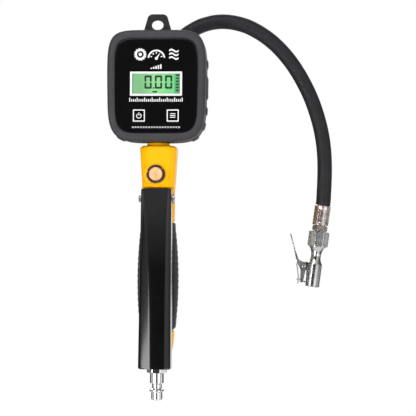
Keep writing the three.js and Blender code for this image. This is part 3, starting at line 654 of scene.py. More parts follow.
def make_lights():
    for name, place, aim, size, power, roll in LIGHTS:
        data = bpy.data.lights.new(name, "AREA")
        data.shape = "RECTANGLE"
        data.size, data.size_y = size
        data.energy = power
        light = linked(name, data)
        light.location = place
        light.visible_glossy = name not in UNMIRRORED
        facing = (Vector(aim) - Vector(place)).to_track_quat("-Z", "Y").to_matrix()
        light.rotation_euler = (facing @ Matrix.Rotation(radians(roll), 3, "Z")).to_euler()


# How bright the studio is by bearing, in degrees from the display's side, positive to the tool's right.
BEARINGS = [(-180, 0.3), (-162, 0.3), (-154, 0.08), (-62, 0.08), (-56, 0.3), (-48, 0.3), (-44, 0.05),
            (-14, 0.03), (-12, 0.015), (14, 0.015), (17, 0.5), (34, 0.65), (40, 0.5), (58, 0.34), (74, 0.16),
            (90, 0.07), (125, 0.07), (140, 0.3), (152, 0.9), (175, 0.9), (179, 0.3)]


def make_world():
    """White to look at; as a light it is a tent with a dark opening on the side that the display faces."""
    world = bpy.data.worlds.new("studio")
    bpy.context.scene.world = world
    world.use_nodes = True
    tree = world.node_tree
    background = tree.nodes["Background"]
    background.inputs["Strength"].default_value = 1.3
    where = new_node(tree, "ShaderNodeTexCoord").outputs["Generated"]
    axes = new_node(tree, "ShaderNodeSeparateXYZ", {0: where}).outputs
    toward = new_node(tree, "ShaderNodeMath", {0: axes["Y"]}, operation="MULTIPLY")
    toward.inputs[1].default_value = -1
    bearing = new_node(tree, "ShaderNodeMath", {0: axes["X"], 1: toward.outputs[0]}, operation="ARCTAN2")
    whole_turn = {"From Min": -pi, "From Max": pi}
    share = new_node(tree, "ShaderNodeMapRange", {0: bearing.outputs[0]}, **whole_turn)
    ramp = new_node(tree, "ShaderNodeValToRGB", {0: share.outputs["Result"]})
    stops = ramp.color_ramp.elements
    while len(stops) > 1:
        stops.remove(stops[-1])
    for i, (degrees, value) in enumerate(BEARINGS):
        place = (degrees + 180) / 360
        stop = stops[0] if i == 0 else stops.new(place)
        stop.position, stop.color = place, (value, value, value, 1)
    tree.links.new(ramp.outputs["Color"], background.inputs["Color"])
    white = new_node(tree, "ShaderNodeBackground", Color=(1, 1, 1, 1)).outputs[0]
    seen = new_node(tree, "ShaderNodeLightPath").outputs["Is Camera Ray"]
    mix = new_node(tree, "ShaderNodeMixShader", {0: seen, 1: background.outputs[0], 2: white})
    tree.links.new(mix.outputs[0], tree.nodes["World Output"].inputs["Surface"])


def make_floor():
    """Pale floor: for the camera it fades to the white of the tent, and for the chrome it ends sooner."""
    radius, bottom, top = 3000, -560, -555
    fade, end = (0.25, 1.1), (0.35, 0.6)
    edge = superellipse(radius, radius, 2, 96)
    floor = skin("floor", [[(x, y, z) for x, y in edge] for z in (bottom, top)])
    pale = Finish("pale_floor", (0.86, 0.86, 0.85), 0.7)
    pale.mottle((0.84, 0.84, 0.83), 3)
    flat = pale.node("ShaderNodeVectorMath", {0: pale.position()}, operation="MULTIPLY")
    flat.inputs[1].default_value = (1, 1, 0)
    away = pale.node("ShaderNodeVectorMath", {0: flat.outputs[0]}, operation="LENGTH").outputs["Value"]
    seen = pale.node("ShaderNodeLightPath").outputs["Is Camera Ray"]
    white = pale.node("ShaderNodeEmission", Color=(1, 1, 1, 1)).outputs[0]
    open_air = pale.node("ShaderNodeBsdfTransparent", Color=(1, 1, 1, 1)).outputs[0]
    far = pale.maths("MULTIPLY", pale.ramp(away, 0, 1, fade), seen)
    faded = pale.mixed_shader(far, pale.shader.outputs[0], white)
    bounced = pale.maths("SUBTRACT", pale.ramp(away, 0, 1, end), seen, clamp=True)
    pale.surface(pale.mixed_shader(bounced, faded, open_air))
    floor.data.materials.append(pale.material)


# ------------------------------ hose

def smooth_path(points, per_span):
    """Catmull-Rom line through the points."""
    route = [Vector(p) for p in points]
    route = [route[0] * 2 - route[1], *route, route[-1] * 2 - route[-2]]
    out = []
    for i in range(1, len(route) - 2):
        a, b, c, d = route[i - 1:i + 3]
        for k in range(per_span):
            t = k / per_span
            out.append(0.5 * (2 * b + (c - a) * t + (2 * a - 5 * b + 4 * c - d) * t * t
                              + (3 * b - a - 3 * c + d) * t ** 3))
    out.append(route[-2])
    return out


def make_hose():
    """Rubber tube along the route; its UV map runs round and along it, for the diagonal print."""
    path = smooth_path(HOSE_ROUTE, 14)
    sides, radius = 40, HOSE_DIAMETER / 2 * MM
    side_axis = Vector((0, 1, 0))
    verts, along = [], [0.0]
    for i, point in enumerate(path):
        ahead = (path[min(i + 1, len(path) - 1)] - path[max(i - 1, 0)]).normalized()
        up = ahead.cross(side_axis).normalized()
        if i:
            along.append(along[-1] + (point - path[i - 1]).length)
        verts += [point + radius * (cos(a) * side_axis + sin(a) * up) for a in round_angles(sides)]
    mesh = bpy.data.meshes.new("hose_tube")
    mesh.from_pydata(verts, [], ring_faces(len(path), sides))
    layer = mesh.uv_layers.new(name="round_and_along")
    girth = TURN * radius
    repeat = 0.03
    for face in range((len(path) - 1) * sides):
        i, k = divmod(face, sides)
        corners = ((k, i), (k + 1, i), (k + 1, i + 1), (k, i + 1))
        for loop, (u, v) in zip(mesh.polygons[face].loop_indices, corners):
            layer.data[loop].uv = (girth * u / sides / repeat, along[v] / repeat)
    hose = outward(linked("hose_tube", mesh))
    finished(hose, "hose_rubber", "hose")
    return hose, path, along[-1]


# ------------------------------ gauge head

RIB_FIRST, RIB_PITCH, RIB_COUNT = 20.4, 13.4, 6
RIB_HALF, RIB_PROUD, RIB_FADE = 3.6, 1.1, 1.2
RIB_FRONT, RIB_BACK = 0.3, 15.4
BOOT_LIP = 0.4
BOOT_SHOULDER = 3.6
BOOT_HEEL = 2.4
CASE_HALF_W, CASE_HALF_H = 39.1, 44.6


def rib_places():
    """Boot's outline down its right side, the distance walked along it, and where on it the grip ribs are."""
    samples = 2000
    outline = []
    for i in range(samples + 1):
        angle = pi / 2 - pi * i / samples
        c, s = cos(angle), sin(angle)
        outline.append((HEAD_HALF_W * abs(c) ** (2 / HEAD_POWER),
                        copysign(HEAD_HALF_H * abs(s) ** (2 / HEAD_POWER), s)))
    walked = [0.0]
    for a, b in zip(outline, outline[1:]):
        walked.append(walked[-1] + dist(a, b))
    first = next(w for w, (_x, z) in zip(walked, outline) if z <= RIB_FIRST)
    return outline, walked, [first + RIB_PITCH * k for k in range(RIB_COUNT)]


def head_outline(w, h, power, count):
    """Superellipse with squarer upper corners and a slightly narrower foot."""
    out = []
    squarer = superellipse(w, h, power + 1.0, count)
    for (x, z), (sharp_x, sharp_z) in zip(superellipse(w, h, power, count), squarer):
        up = max(0.0, z / h) ** 0.5
        narrow = 1 - 0.016 * min(1.0, max(0.0, 0.2 - z / h))
        out.append(((x + (sharp_x - x) * up) * narrow, z + (sharp_z - z) * up))
    return out


def boot_stations():
    """Half width, half height, squareness and depth of each ring: lip, shoulder, side, heel and rear rim."""
    front, back = BOOT_LOW.y, BOOT_HIGH.y
    lip_w, lip_h = FACE_HALF_W + BOOT_LIP, FACE_HALF_H + BOOT_LIP
    stations = [(lip_w, lip_h, 6, front + 1.7), (lip_w, lip_h, 6, front + 1.2)]
    for grow, rise in ((0.3, 0.8), (0.9, 0.35), (1.6, 0.1), (2.4, 0.0)):
        stations.append((lip_w + grow, lip_h + grow, 5.8 - grow * 0.2, front + rise))
    for x, y in arc(-BOOT_SHOULDER, BOOT_SHOULDER, BOOT_SHOULDER, 270, 360, 9):
        stations.append((HEAD_HALF_W + x, HEAD_HALF_H + x, HEAD_POWER + 0.04 * abs(x), front + y))
    side_steps = 26
    for k in range(1, side_steps):
        y = front + BOOT_SHOULDER + (back - BOOT_HEEL - front - BOOT_SHOULDER) * k / side_steps
        stations.append((HEAD_HALF_W, HEAD_HALF_H, HEAD_POWER, y))
    for x, y in arc(-BOOT_HEEL, -BOOT_HEEL, BOOT_HEEL, 0, 90, 6):
        stations.append((HEAD_HALF_W + x, HEAD_HALF_H + x, HEAD_POWER, back + y))
    for w, h, depth in ((35.2, 40.2, 0), (34.2, 39.2, 0.25), (33.7, 38.7, 0.9), (33.7, 38.7, 1.7)):
        stations.append((w, h, 5, back - depth))
    return stations


def make_boot():
    """Rubber boot round the head, with grip ribs on the flanks behind its shoulder."""
    outline, walked, ribs = rib_places()
    count = 760
    inner_half_w, inner_half_h, lining = 39.3, 44.8, 1.7

    def rib_height(x, z, y):
        """Height of the rib at a point of the skin, by its distance along the outline and its depth."""
        nearest = min(range(0, len(outline), 4),
                      key=lambda i: (outline[i][0] - abs(x)) ** 2 + (outline[i][1] - z) ** 2)
        off = min(abs(walked[nearest] - rib) for rib in ribs) / RIB_HALF
        across = max(0.0, 1 - off ** 6) if off < 1 else 0.0
        from_front = min(1.0, max(0.0, (y - RIB_FRONT) / RIB_FADE))
        from_back = min(1.0, max(0.0, (RIB_BACK - y) / RIB_FADE))
        return RIB_PROUD * across ** 0.6 * sin(from_front * from_back * pi / 2)

    rings = []
    for w, h, power, y in boot_stations():
        flank = y > 0 and w > 40
        ring = []
        for x, z in head_outline(w, h, power, count):
            rise = rib_height(x, z, y) if flank else 0.0
            normal = Vector((copysign(abs(x / w) ** (power - 1) / w, x),
                             copysign(abs(z / h) ** (power - 1) / h, z))).normalized()
            ring.append((x + rise * normal.x, y, HEAD_Z + z + rise * normal.y))
        rings.append(ring)
    inside = superellipse(inner_half_w, inner_half_h, HEAD_POWER, count)
    for y in (BOOT_HIGH.y - lining, BOOT_LOW.y + lining):
        rings.append([(x, y, HEAD_Z + z) for x, z in inside])
    finished(skin("rubber_boot", rings, closed=True), "boot_rubber", "gauge_boot", angle=50)


def make_back():
    """Back shell of the case, seen through the boot, with its hanging tab."""
    low, high = extent("case_back")
    door_low, door_high = extent("battery_door")
    screws = [middle(f"case_screw_{i}") for i in (1, 2, 3, 4)]
    ring = [(x, HEAD_Z + z) for x, z in superellipse(CASE_HALF_W, CASE_HALF_H, HEAD_POWER, 160)]
    holes = [around(door_low, door_high, 0.2, 1.6), *(circle(screw.x, screw.z, 3.1) for screw in screws)]
    cover = plate("back_cover", [ring, *holes], high.y - 2.2, high.y, 0.3)
    floor = plate("back_floor", [around(door_low, door_high, 1.5)], high.y - 2.3, high.y - 1.9)
    seat = [(3.6, -3.4), (3.6, -2.1), (2.2, -2.1), (2.2, -3.4)]
    seats = [moved(turned("screw_seat", seat, 32, True), along_y(screw.x, high.y, screw.z))
             for screw in screws]
    rows = [door_low.z - 9 + 2.4 * k for k in range(-3, 1)]
    ridges = [plate("ridge", [oblong(-12, 12, z, z + 0.8, 0.4)], high.y - 0.1, high.y + 0.45, 0.2)
              for z in rows]
    shell = united("case_back_shell", cover, floor, *seats, *ridges)
    finished(shell, "case_plastic", "case_back")
    foot, neck, top = 13.3, 9.4, 5.6
    edge = [(-foot, -10), (foot, -10), (neck, 3.4)]
    edge += rounded([(neck, 3.4), (8.2, 7.6), (top, high.z), (-top, high.z), (-8.2, 7.6), (-neck, 3.4)],
                    3.2, 5, closed=False)[1:]
    tab = plate("hanging_tab", [edge, superellipse(4.95, 4.1, 2, 48)], low.y, 1.5, 0.55)
    finished(tab, "case_plastic")


def make_door():
    low, high = extent("battery_door")
    screw = middle("door_screw")
    outlines = [around(low, high, 0, 1.4), circle(screw.x, screw.z, 1.7)]
    door = plate("battery_cover", outlines, low.y, high.y, 0.3)
    rows = [oblong(low.x + 3, low.x + 9, z, z + 0.9, 0.4) for z in (low.z + 6 + 2.6 * k for k in range(7))]
    bars = [plate("door_bar", [row], high.y - 0.1, high.y + 0.5, 0.2) for row in rows]
    finished(united("battery_cover", door, *bars), "case_plastic", "battery_door")


def make_screws():
    """Cross-slotted heads on the back of the case and its door."""
    for name in ("door_screw", "case_screw_1", "case_screw_2", "case_screw_3", "case_screw_4"):
        low, high = extent(name)
        spot, radius = middle(name), (high.x - low.x) / 2
        profile = [(AXIS, -4), (1.1, -4), (1.1, -1.8), (radius, -1.6), (radius, -0.7), (radius * 0.6, 0),
                   (AXIS, 0.05)]
        slots = [block("slot", -a, a, -b, b, -0.9, 1) for a, b in ((0.38, 1.7), (1.7, 0.38))]
        head = without(lathe("head", profile, 0.4, 3, 40), *slots)
        screw = moved(head, along_y(spot.x, high.y, spot.z))
        screw.name = name + "_head"
        finished(screw, "bright_steel", name)


KEY_HALF = 5.4
KEY_GAP = 0.2
PANEL_GAP = 0.05


def square(spot, half, radius):
    return oblong(spot.x - half, spot.x + half, spot.z - half, spot.z + half, radius)


def make_face():
    """Gloss face with openings for the display and the keys, the white surround and the clear window."""
    lens_low, lens_high = extent("display_lens")
    frame_low, frame_high = extent("display_frame")
    window = around(frame_low, frame_high, PANEL_GAP, 0.5)
    keys = [square(middle(name), KEY_HALF + KEY_GAP, 1.0) for name in ("power_button", "function_button")]
    edge = [(x, HEAD_Z + z) for x, z in superellipse(FACE_HALF_W, FACE_HALF_H, 6, 200)]
    face = plate("gloss_face", [edge, window, *keys], FACE_LOW.y, FACE_HIGH.y, 0.3)
    finished(face, "face_gloss", "face_panel")
    outlines = [around(frame_low, frame_high, 0, 0.5), around(lens_low, lens_high, PANEL_GAP, 0.4)]
    surround = plate("white_surround", outlines, frame_low.y, frame_high.y, 0.15)
    finished(surround, "white_print", "display_frame", slot="display_white")
    clear = plate("clear_window", [around(lens_low, lens_high, 0, 0.4)], lens_low.y, lens_high.y, 0.1)
    finished(clear, "display_lens", "display_lens")
    make_display(lens_low, lens_high)


def make_display(lens_low, lens_high):
    """Glass with three plain zeros, a point, a dash and a column of level marks."""
    front = extent("lcd_module")[0].y
    glass = plate("lcd_panel", [around(lens_low, lens_high)], front, front + 2)
    finished(glass, "lcd_glass", "lcd_module")
    width, height, stroke = 6.2, 11.2, 1.6
    base = middle("lcd_module").z - 4.2
    bars = []

    def bar(x0, x1, z0, z1, soft=0.35):
        bars.append(plate("segment", [oblong(x0, x1, z0, z1, soft)], front - 0.06, front + 0.1))

    for left in (-9.9, -1.1, 7.5):
        right, top, half = left + width, base + height, base + height / 2
        bar(left + 0.4, right - 0.4, top - stroke, top)
        bar(left + 0.4, right - 0.4, base, base + stroke)
        for x in (left, right - stroke):
            bar(x, x + stroke, base + 0.5, half - 0.5)
            bar(x, x + stroke, half + 0.5, top - 0.5)
    bar(-2.8, -1.5, base, base + 1.3)
    bar(-3.2, 0.9, base - 3.2, base - 1.9)
    for k in range(6):
        z = base - 1.4 + 2.55 * k
        bar(16.7, 19.4, z - 0.65, z + 0.65, 0.6)
    finished(united("display_digits", *bars), "lcd_ink", slot="lcd_glass")


def make_keys():
    """Two square keys with a printed border and a plain generic sign each."""
    for name, body in (("power_button", "power_key"), ("function_button", "function_key")):
        low, high = extent(name)
        spot = middle(name)
        key = plate(name + "_cap", [square(spot, KEY_HALF, 0.8)], low.y, high.y - 0.9, 0.35)
        finished(key, "face_gloss", name, body=body)
        border = [square(spot, KEY_HALF - 0.35, 0.6), square(spot, KEY_HALF - 1.2, 0.3)]
        if name == "power_button":
            x, z = spot.x, spot.z - 0.2
            ring = arc(x, z, 2.3, 125, 415, 24) + arc(x, z, 1.65, 415, 125, 24)
            signs = [[ring], [oblong(x - 0.33, x + 0.33, spot.z, spot.z + 2.7)]]
        else:
            rows = [spot.z + 1.5 * k for k in (-1, 0, 1)]
            signs = [[oblong(spot.x - 2.3, spot.x + 2.3, z - 0.33, z + 0.33, 0.2)] for z in rows]
        prints = [plate("print", outlines, low.y - 0.04, low.y + 0.2) for outlines in (border, *signs)]
        finished(united(name + "_print", *prints), "white_print", body=body, slot="display_white")


def make_marks():
    """Plain generic marks on the face: a tyre, a dial and an air jet, and rows of scale marks."""
    top, under = FACE_LOW.y - 0.03, FACE_LOW.y + 0.2
    marks = []

    def mark(*outlines):
        marks.append(plate("mark", outlines, top, under))

    def spoke(x, z, degrees, start, end, half, tip=None):
        """Bar that points away from a centre; tip is its half width at the far end."""
        tip = half if tip is None else tip
        angle = radians(degrees)
        centre = Vector((x, z))
        along, aside = Vector((cos(angle), sin(angle))), Vector((-sin(angle), cos(angle)))
        mark([tuple(centre + along * reach + aside * shift)
              for reach, shift in ((start, -half), (end, -tip), (end, tip), (start, half))])

    row, tyre_x, dial_x, dial_z = -26.4, -13.4, 0.2, -29.8
    mark(circle(tyre_x, row, 4.6, 48), circle(tyre_x, row, 2.9, 40))
    mark(circle(tyre_x, row, 1.4, 24))
    for k in range(14):
        spoke(tyre_x, row, 360 / 14 * k, 4.5, 5.3, 0.5)
    mark(arc(dial_x, dial_z, 7.4, 175, 5, 30) + arc(dial_x, dial_z, 6.1, 5, 175, 30))
    for k in range(5):
        spoke(dial_x, dial_z, 160 - 35 * k, 4.0, 5.4, 0.4)
    spoke(dial_x, dial_z, 55, 0, 5.4, 0.9, 0.12)
    mark(circle(dial_x, dial_z, 1.25))
    jet_x, jet_length, jet_gap, jet_rise, jet_half, steps = 11.0, 8.0, 3.1, 0.9, 0.7, 12
    for k in (-1, 0, 1):
        wave = [(jet_x + jet_length * t / steps, row + jet_gap * k + jet_rise * sin(TURN * t / steps))
                for t in range(steps + 1)]
        mark([(x, z + jet_half) for x, z in wave] + [(x, z - jet_half) for x, z in reversed(wave)])
    bar_pitch, bar_foot = 2.0, -38.6
    for k in range(5):
        mark(oblong(-4.6 + bar_pitch * k, -3.4 + bar_pitch * k, bar_foot, -37.6 + 0.7 * k))
    scale_start, scale_pitch, scale_foot, tick_half = -22.2, 1.586, -66.2, 0.38
    for k in range(29):
        x, tall = scale_start + scale_pitch * k, 3.4 if k % 4 == 0 else 2.2
        mark(oblong(x - tick_half, x + tick_half, scale_foot, scale_foot + tall))
    finished(united("face_marks", *marks), "white_print", slot="display_white")
    dashes = [plate("dash", [oblong(x, x + 1.5, -88.4, -87.0)], top, under)
              for x in (-20.2 + 2.3 * k for k in range(18))]
    finished(united("face_dashes", *dashes), "grey_print", slot="display_white")


# ------------------------------ body and handle

BODY_TOP, BODY_FRONT, BODY_BACK = -102.5, -7.0, 24.0
BODY_HALF, BODY_TAPER, BODY_LENGTH = 15.7, 0.135, 36
BODY_CENTRE_X = 1.0
BODY_SHOULDER, BODY_REACH = 2.7, 4.4
HANDLE_TOP = -137.5
HANDLE_NARROWS = -262
GRIP_CORE_Y = 14.4


def facet_ring(half, front, z, inset=0.0):
    """Eight-sided section with a flat front, slanted corners and soft edges."""
    w, f, b = half - inset, front + inset * 0.8, BODY_BACK - inset * 0.8
    outline = both_sides([(w * 0.62, f), (w, f + 5.2), (w, b - 5), (w * 0.68, b)])
    return [(x, y, z) for x, y in rounded(outline, 2.4, 12)]


def upper_body():
    """Faceted block under the head: rounded at its top, narrower downwards, cut away at its front foot."""

    def half_at(z):
        return BODY_HALF * (1 - BODY_TAPER * (BODY_TOP - z) / BODY_LENGTH)

    rings = []
    for k in range(17):
        angle = pi / 2 * k / 16
        z = BODY_TOP - BODY_SHOULDER * (1 - cos(angle))
        rings.append(facet_ring(half_at(z), BODY_FRONT, z, BODY_REACH * (1 - sin(angle))))
    for k in range(1, 31):
        z = BODY_TOP - BODY_SHOULDER - 33.6 * k / 30
        recede = max(0.0, -137.2 - z)
        rings.append(facet_ring(half_at(z), BODY_FRONT + recede * recede * 0.8, z))
    rings.append(facet_ring(13.5, BODY_FRONT + 6.2, -138.9))
    return moved(skin("upper", rings), at(BODY_CENTRE_X))


def handle_parts(foot, grip_low, grip_high):
    """Narrow spine of the handle, its full section above and below the grip, and a core inside the grip."""
    spine, rear = [], []
    front = both_sides([(9.6, 1), (10.2, 2.2), (10.2, 12)])
    full = both_sides([(11, 5.5), (14.2, 7), (14.2, 18.5), (9.5, 23.9)])
    for k in range(41):
        z = HANDLE_TOP + (foot - HANDLE_TOP) * k / 40
        end = max(0.0, (HANDLE_NARROWS - z) / (HANDLE_NARROWS - foot))
        slim, thin = 1 - 0.36 * end ** 2.4, 1 - 0.3 * end ** 2.4
        for rings, section in ((spine, rounded(front, 1.2, 4)), (rear, rounded(full, 2.6, 6))):
            rings.append([(x * slim, PLUG.y + (y - PLUG.y) * thin, z) for x, y in section])
    above = [ring for ring in rear if ring[0][2] > grip_high.z + 0.5]
    below = [ring for ring in rear if ring[0][2] < grip_low.z - 0.5]
    core = [[(x, GRIP_CORE_Y + y, z) for x, y in superellipse(12.1, 7.5, 4, 48)]
            for z in (grip_high.z + 3, grip_low.z - 3)]
    return [skin(name, rings) for name, rings in
            (("spine", spine), ("rear_above", above), ("rear_below", below), ("core", core))]


def make_casting():
    """Yellow casting: its parts are grown together with soft inner corners, and then bored."""
    foot = extent("body_casting")[0].z
    grip_low, grip_high = extent("handle_grip")
    neck = turned("neck", [(9, -104), (9, -100.5), (8.6, -100.2), (AXIS, -100.2)], 64)
    boss = turned("boss", [(AXIS, 8), (11.4, 8), (11.3, 0.1), (10.6, -0.6), (9.6, -0.95), (AXIS, -1.05)], 96)
    riser = turned("riser", [(AXIS, -131), (9.6, -129), (9.9, -106.5), (9.3, -104.6), (8.4, -103.8),
                             (8.4, -85.2), (7.9, -84.4), (7.2, -84.05), (AXIS, -84.05)], 64)
    cap_boss = turned("cap_boss", [(AXIS, 14), (7.8, 14), (7.8, BODY_BACK + 1.1), (7.3, BODY_BACK + 1.5),
                                   (AXIS, BODY_BACK + 1.5)], 64)
    parts = [
        upper_body(),
        moved(neck, at(0, middle("gauge_stem").y, 0)),
        moved(boss, along_y(0, BODY_FRONT, BLEED.z)),
        moved(riser, at(0, PORT.y, 0)),
        block("bridge", -9.2, 9.2, 14, 28, -130, -104.6),
        moved(turned("lug", [(4.2, -9.8), (4.2, 9.8)], 40), along_x(0, PIVOT.y, PIVOT.z)),
        block("lug_block", -9.8, 9.8, -3.0, 6, PIVOT.z, -137.6),
        moved(cap_boss, along_y(0, 0, VALVE.z)),
    ]
    casting = united("yellow_casting", *parts, *handle_parts(foot, grip_low, grip_high))
    modified(casting, "REMESH", mode="VOXEL", voxel_size=0.5 * MM)
    modified(casting, "SMOOTH", factor=0.5, iterations=7)
    valve_axis = along_y(0, 0, VALVE.z)
    bleed_bore = bore(6.15, -6, 6, 64, along_y(0, BODY_FRONT, BLEED.z))
    port_bore = bore(5.25, -30, 3.5, 48, at(0, PORT.y, -85))
    spring_bore = bore(6.4, 12, BODY_BACK + 4, 48, valve_axis)
    gland_bore = bore(5.3, -3, 7, 48, valve_axis)
    stem_bore = bore(2.3, 5, 14, 32, valve_axis)
    inlet_bore = bore(4.7, foot - 3, foot + 20, 48, at(0, PLUG.y, 0))
    without(casting, bleed_bore, port_bore, spring_bore, gland_bore, stem_bore, inlet_bore)
    finished(casting, "yellow_paint", "body_casting", angle=40)


def make_grip():
    """Rubber grip round the back of the handle, with a belly, soft finger waves and tucked-in ends."""
    low, high = extent("handle_grip")
    rings = []
    steps = 150
    half = [(11.2, 5.5), (13.6, 5.2), (14.9, 8.5), (14.9, 18.5), (12.0, 23.6), (5.5, 26.6)]
    outer = rounded(both_sides(half), 3.4, 7)
    centre = Vector((0, 14))
    wider, deeper = 0.18, 1.2
    wave_pitch, wave_deep = 5.1, 0.28
    end_length, end_deep = 2.2, 1.5
    front_edge = 5.8
    tall = high.z - low.z
    for k in range(steps + 1):
        t = k / steps
        z = high.z + (low.z - high.z) * t
        from_end = min(t, 1 - t)
        belly = sin(pi * min(1, (1 - t) * 1.04 + 0.02)) ** 0.8
        end = min(1.0, from_end * tall / end_length)
        tuck = end_deep * (1 - sqrt(max(0.0, 1 - (1 - end) ** 2)))
        wave = wave_deep * (0.5 - 0.5 * cos(TURN * (z - low.z) / wave_pitch)) * min(1.0, from_end * 12)
        ring = []
        for x, y in outer:
            rear = max(0.0, (y - 10) / 17)
            out = Vector((x * (1 + wider * belly), y + deeper * belly * rear))
            push = tuck + wave if y > front_edge else 0.0
            x, y = out + (centre - out).normalized() * push
            ring.append((x, y, z))
        rings.append(ring)
    hollow = [[(x, GRIP_CORE_Y + y, z) for x, y in superellipse(12.4, 7.8, 4, 40)]
              for z in (low.z - 2, high.z + 2)]
    slot = block("slot", -10.7, 10.7, 0, 12, low.z - 2, high.z + 2)
    grip = without(skin("rubber_grip", rings), skin("hollow", hollow), slot)
    finished(grip, "grip_rubber", "handle_grip", angle=45)


def make_bleed():
    """Slotted ring round a copper-coloured button, in the boss on the front of the body."""
    low, high = extent("bleed_button")
    front = extent("bleed_collar")[0].y
    place = along_y(0, front, BLEED.z)
    profile = [(5.95, 0.9), (6.3, 0.0), (7.5, 0.0), (7.9, 0.4), (7.9, 2.5), (5.95, 2.5)]
    collar = moved(lathe("collar", profile, 0.25, 4, 96, ring=True), place)
    floor = moved(turned("collar_floor", [(6.05, 2.3), (6.05, 7.2), (3.4, 7.2), (3.4, 2.3)], 64, True), place)
    notches = [moved(block("notch", 6.9, 9, -0.75, 0.75, -1, 3.2), place @ turned_by(angle, "Z"))
               for angle in (78, 198, 318)]
    without(collar, *notches)
    finished(united("bleed_ring", collar, floor), "ring_alloy", "bleed_collar", slot="chrome")
    tall = high.y - low.y
    profile = [(AXIS, 0.55), (2.4, 0.35), (4.6, 0.0), (5.3, 0.35), (5.75, 1.2), (5.75, 1.9), (3.0, 2.0),
               (3.0, 5.2), (2.1, 5.6), (2.1, tall), (AXIS, tall)]
    finished(lathe("bleed_push", profile, 0.35, 4, 96), "copper_cap", "bleed_button", body="bleed",
             place=along_y(0, low.y, BLEED.z))


LEVER_TOP, LEVER_FOOT = 8.1, -144.0
LEVER_FRONT, LEVER_WALL, LEVER_HALF = -8.5, 1.6, 13
LEVER_INSIDE = 11.4


def lever_half(crest, edge, slope, depth, flare):
    """Half of the section: its outside from the rim to the middle, and its inside back to the rim."""
    front, wall, half = LEVER_FRONT, LEVER_WALL, LEVER_HALF
    outer = [(half + flare, depth), (half, front + slope + 2.4), (half - 0.15, front + slope + 1.5),
             (half - 0.8, front + slope + 0.75)]
    for u in (1, 0.75, 0.5, 0.25, 0):
        outer.append((crest + (edge - crest) * u, front + 0.15 + (slope - 0.15) * (u + 0.15 * u * u) / 1.15))
    outer += [(crest * 0.5, front + 0.05), (AXIS, front)]
    inner = [(AXIS, front + wall), (crest * 0.5, front + wall), (crest * 0.97, front + wall + 0.1),
             (edge - 0.6, front + slope + wall * 0.9), (LEVER_INSIDE - 0.4, front + slope + 1.9),
             (LEVER_INSIDE, front + slope + 2.6), (LEVER_INSIDE + flare * 0.8, depth)]
    return outer, inner


def lever_ring(t):
    """Section of the lever at a share t of the way from its top to its foot.

    The flat of the top narrows soon, more on the left than on the right, where it stays wide to the foot.
    """
    z = LEVER_TOP + (LEVER_FOOT - LEVER_TOP) * t
    wide = 1 + 0.07 * t
    corner = 0.9 * max(0.0, 1 - t * 90) ** 2 + 0.9 * max(0.0, 1 - (1 - t) * 120) ** 2
    near = exp(-2.6 * t)
    settle = 1 - exp(-4 * t)
    edge = 10.6 + 0.5 * (1 - settle)
    depth = 4.2 if z > -7 else 1.8 + 2.4 * max(0.0, 1 - (-7 - z) / 9) ** 2
    flare = 0.35 * min(1.0, max(0.0, t - 0.1) * 6)
    right = lever_half(7.6 + 2.8 * near * near, edge, 0.5 + 0.55 * settle, depth, flare)
    left = lever_half(2.6 + 8.2 * near, edge, 0.5 + 2.4 * settle, depth, flare)

    def placed(line, side):
        return [(side * (x - corner * (x / LEVER_HALF) ** 2) * wide, y, z) for x, y in line]

    return (placed(right[0], 1) + placed(left[0], -1)[::-1]
            + placed(left[1], -1)[::-1] + placed(right[1], 1))


def make_lever():
    """Folded channel, pinned near its top: flat there, and drawn to a ridge with a slanted face each side."""
    steps = 60
    top_end = [k / 240 for k in range(6)]
    foot_end = [1 - k / 240 for k in range(4, -1, -1)]
    stations = top_end + [0.03 + 0.94 * k / steps for k in range(steps + 1)] + foot_end
    lever = skin("lever_channel", [lever_ring(t) for t in stations])
    without(lever, bore(2.3, -20, 20, 40, along_x()))
    bevelled(lever, 0.35, 3)
    moved(lever, at(*PIVOT) @ turned_by(-LEVER_TILT, "X"))
    finished(lever, "black_paint", "lever", body="lever", angle=30)


def make_lever_pin():
    """Headed pin with a groove, and the spring clip in it, which has a gap and two eyes."""
    low, high = extent("lever_pin")
    groove, groove_end = 14.1, 15.0
    profile = [(AXIS, low.x), (2.4, low.x), (3.2, low.x + 0.5), (3.2, low.x + 1.3), (2, low.x + 1.35),
               (2, groove - 0.1), (1.55, groove), (1.55, groove_end), (2, groove_end + 0.05),
               (1.7, high.x), (AXIS, high.x + 0.15)]
    place = along_x(0, PIVOT.y, PIVOT.z)
    finished(lathe("lever_pin_shaft", profile, 0.25, 3, 48), "bright_steel", "lever_pin", place=place)
    profile = [(1.6, groove), (4.3, groove), (4.3, 15.1), (1.6, 15.1)]
    clip = moved(lathe("clip_ring", profile, 0.2, 2, 48, ring=True), place)
    gap = block("gap", 13, 17, -1.1, 1.1, PIVOT.z - 5, PIVOT.z)
    eyes = [bore(0.8, 13, 17, 20, along_x(0, PIVOT.y + 3.1 * cos(a), PIVOT.z + 3.1 * sin(a)))
            for a in (2.6, 0.54)]
    finished(without(clip, gap, *eyes), "bright_steel", "pin_clip")


def make_valve_cap():
    """Six-sided cap over a washer, on the back of the body."""
    thick = 3.4
    place = along_y(0, extent("valve_cap")[1].y - thick, VALVE.z)
    washer = lathe("washer", [(AXIS, -1), (6.3, -1), (6.3, 0.1), (AXIS, 0.1)], 0.2, 2, 64)
    cap = united("valve_back_cap", chamfered_nut(12, 0, thick, 0.7), washer)
    finished(cap, "brass", "valve_cap", place=place)


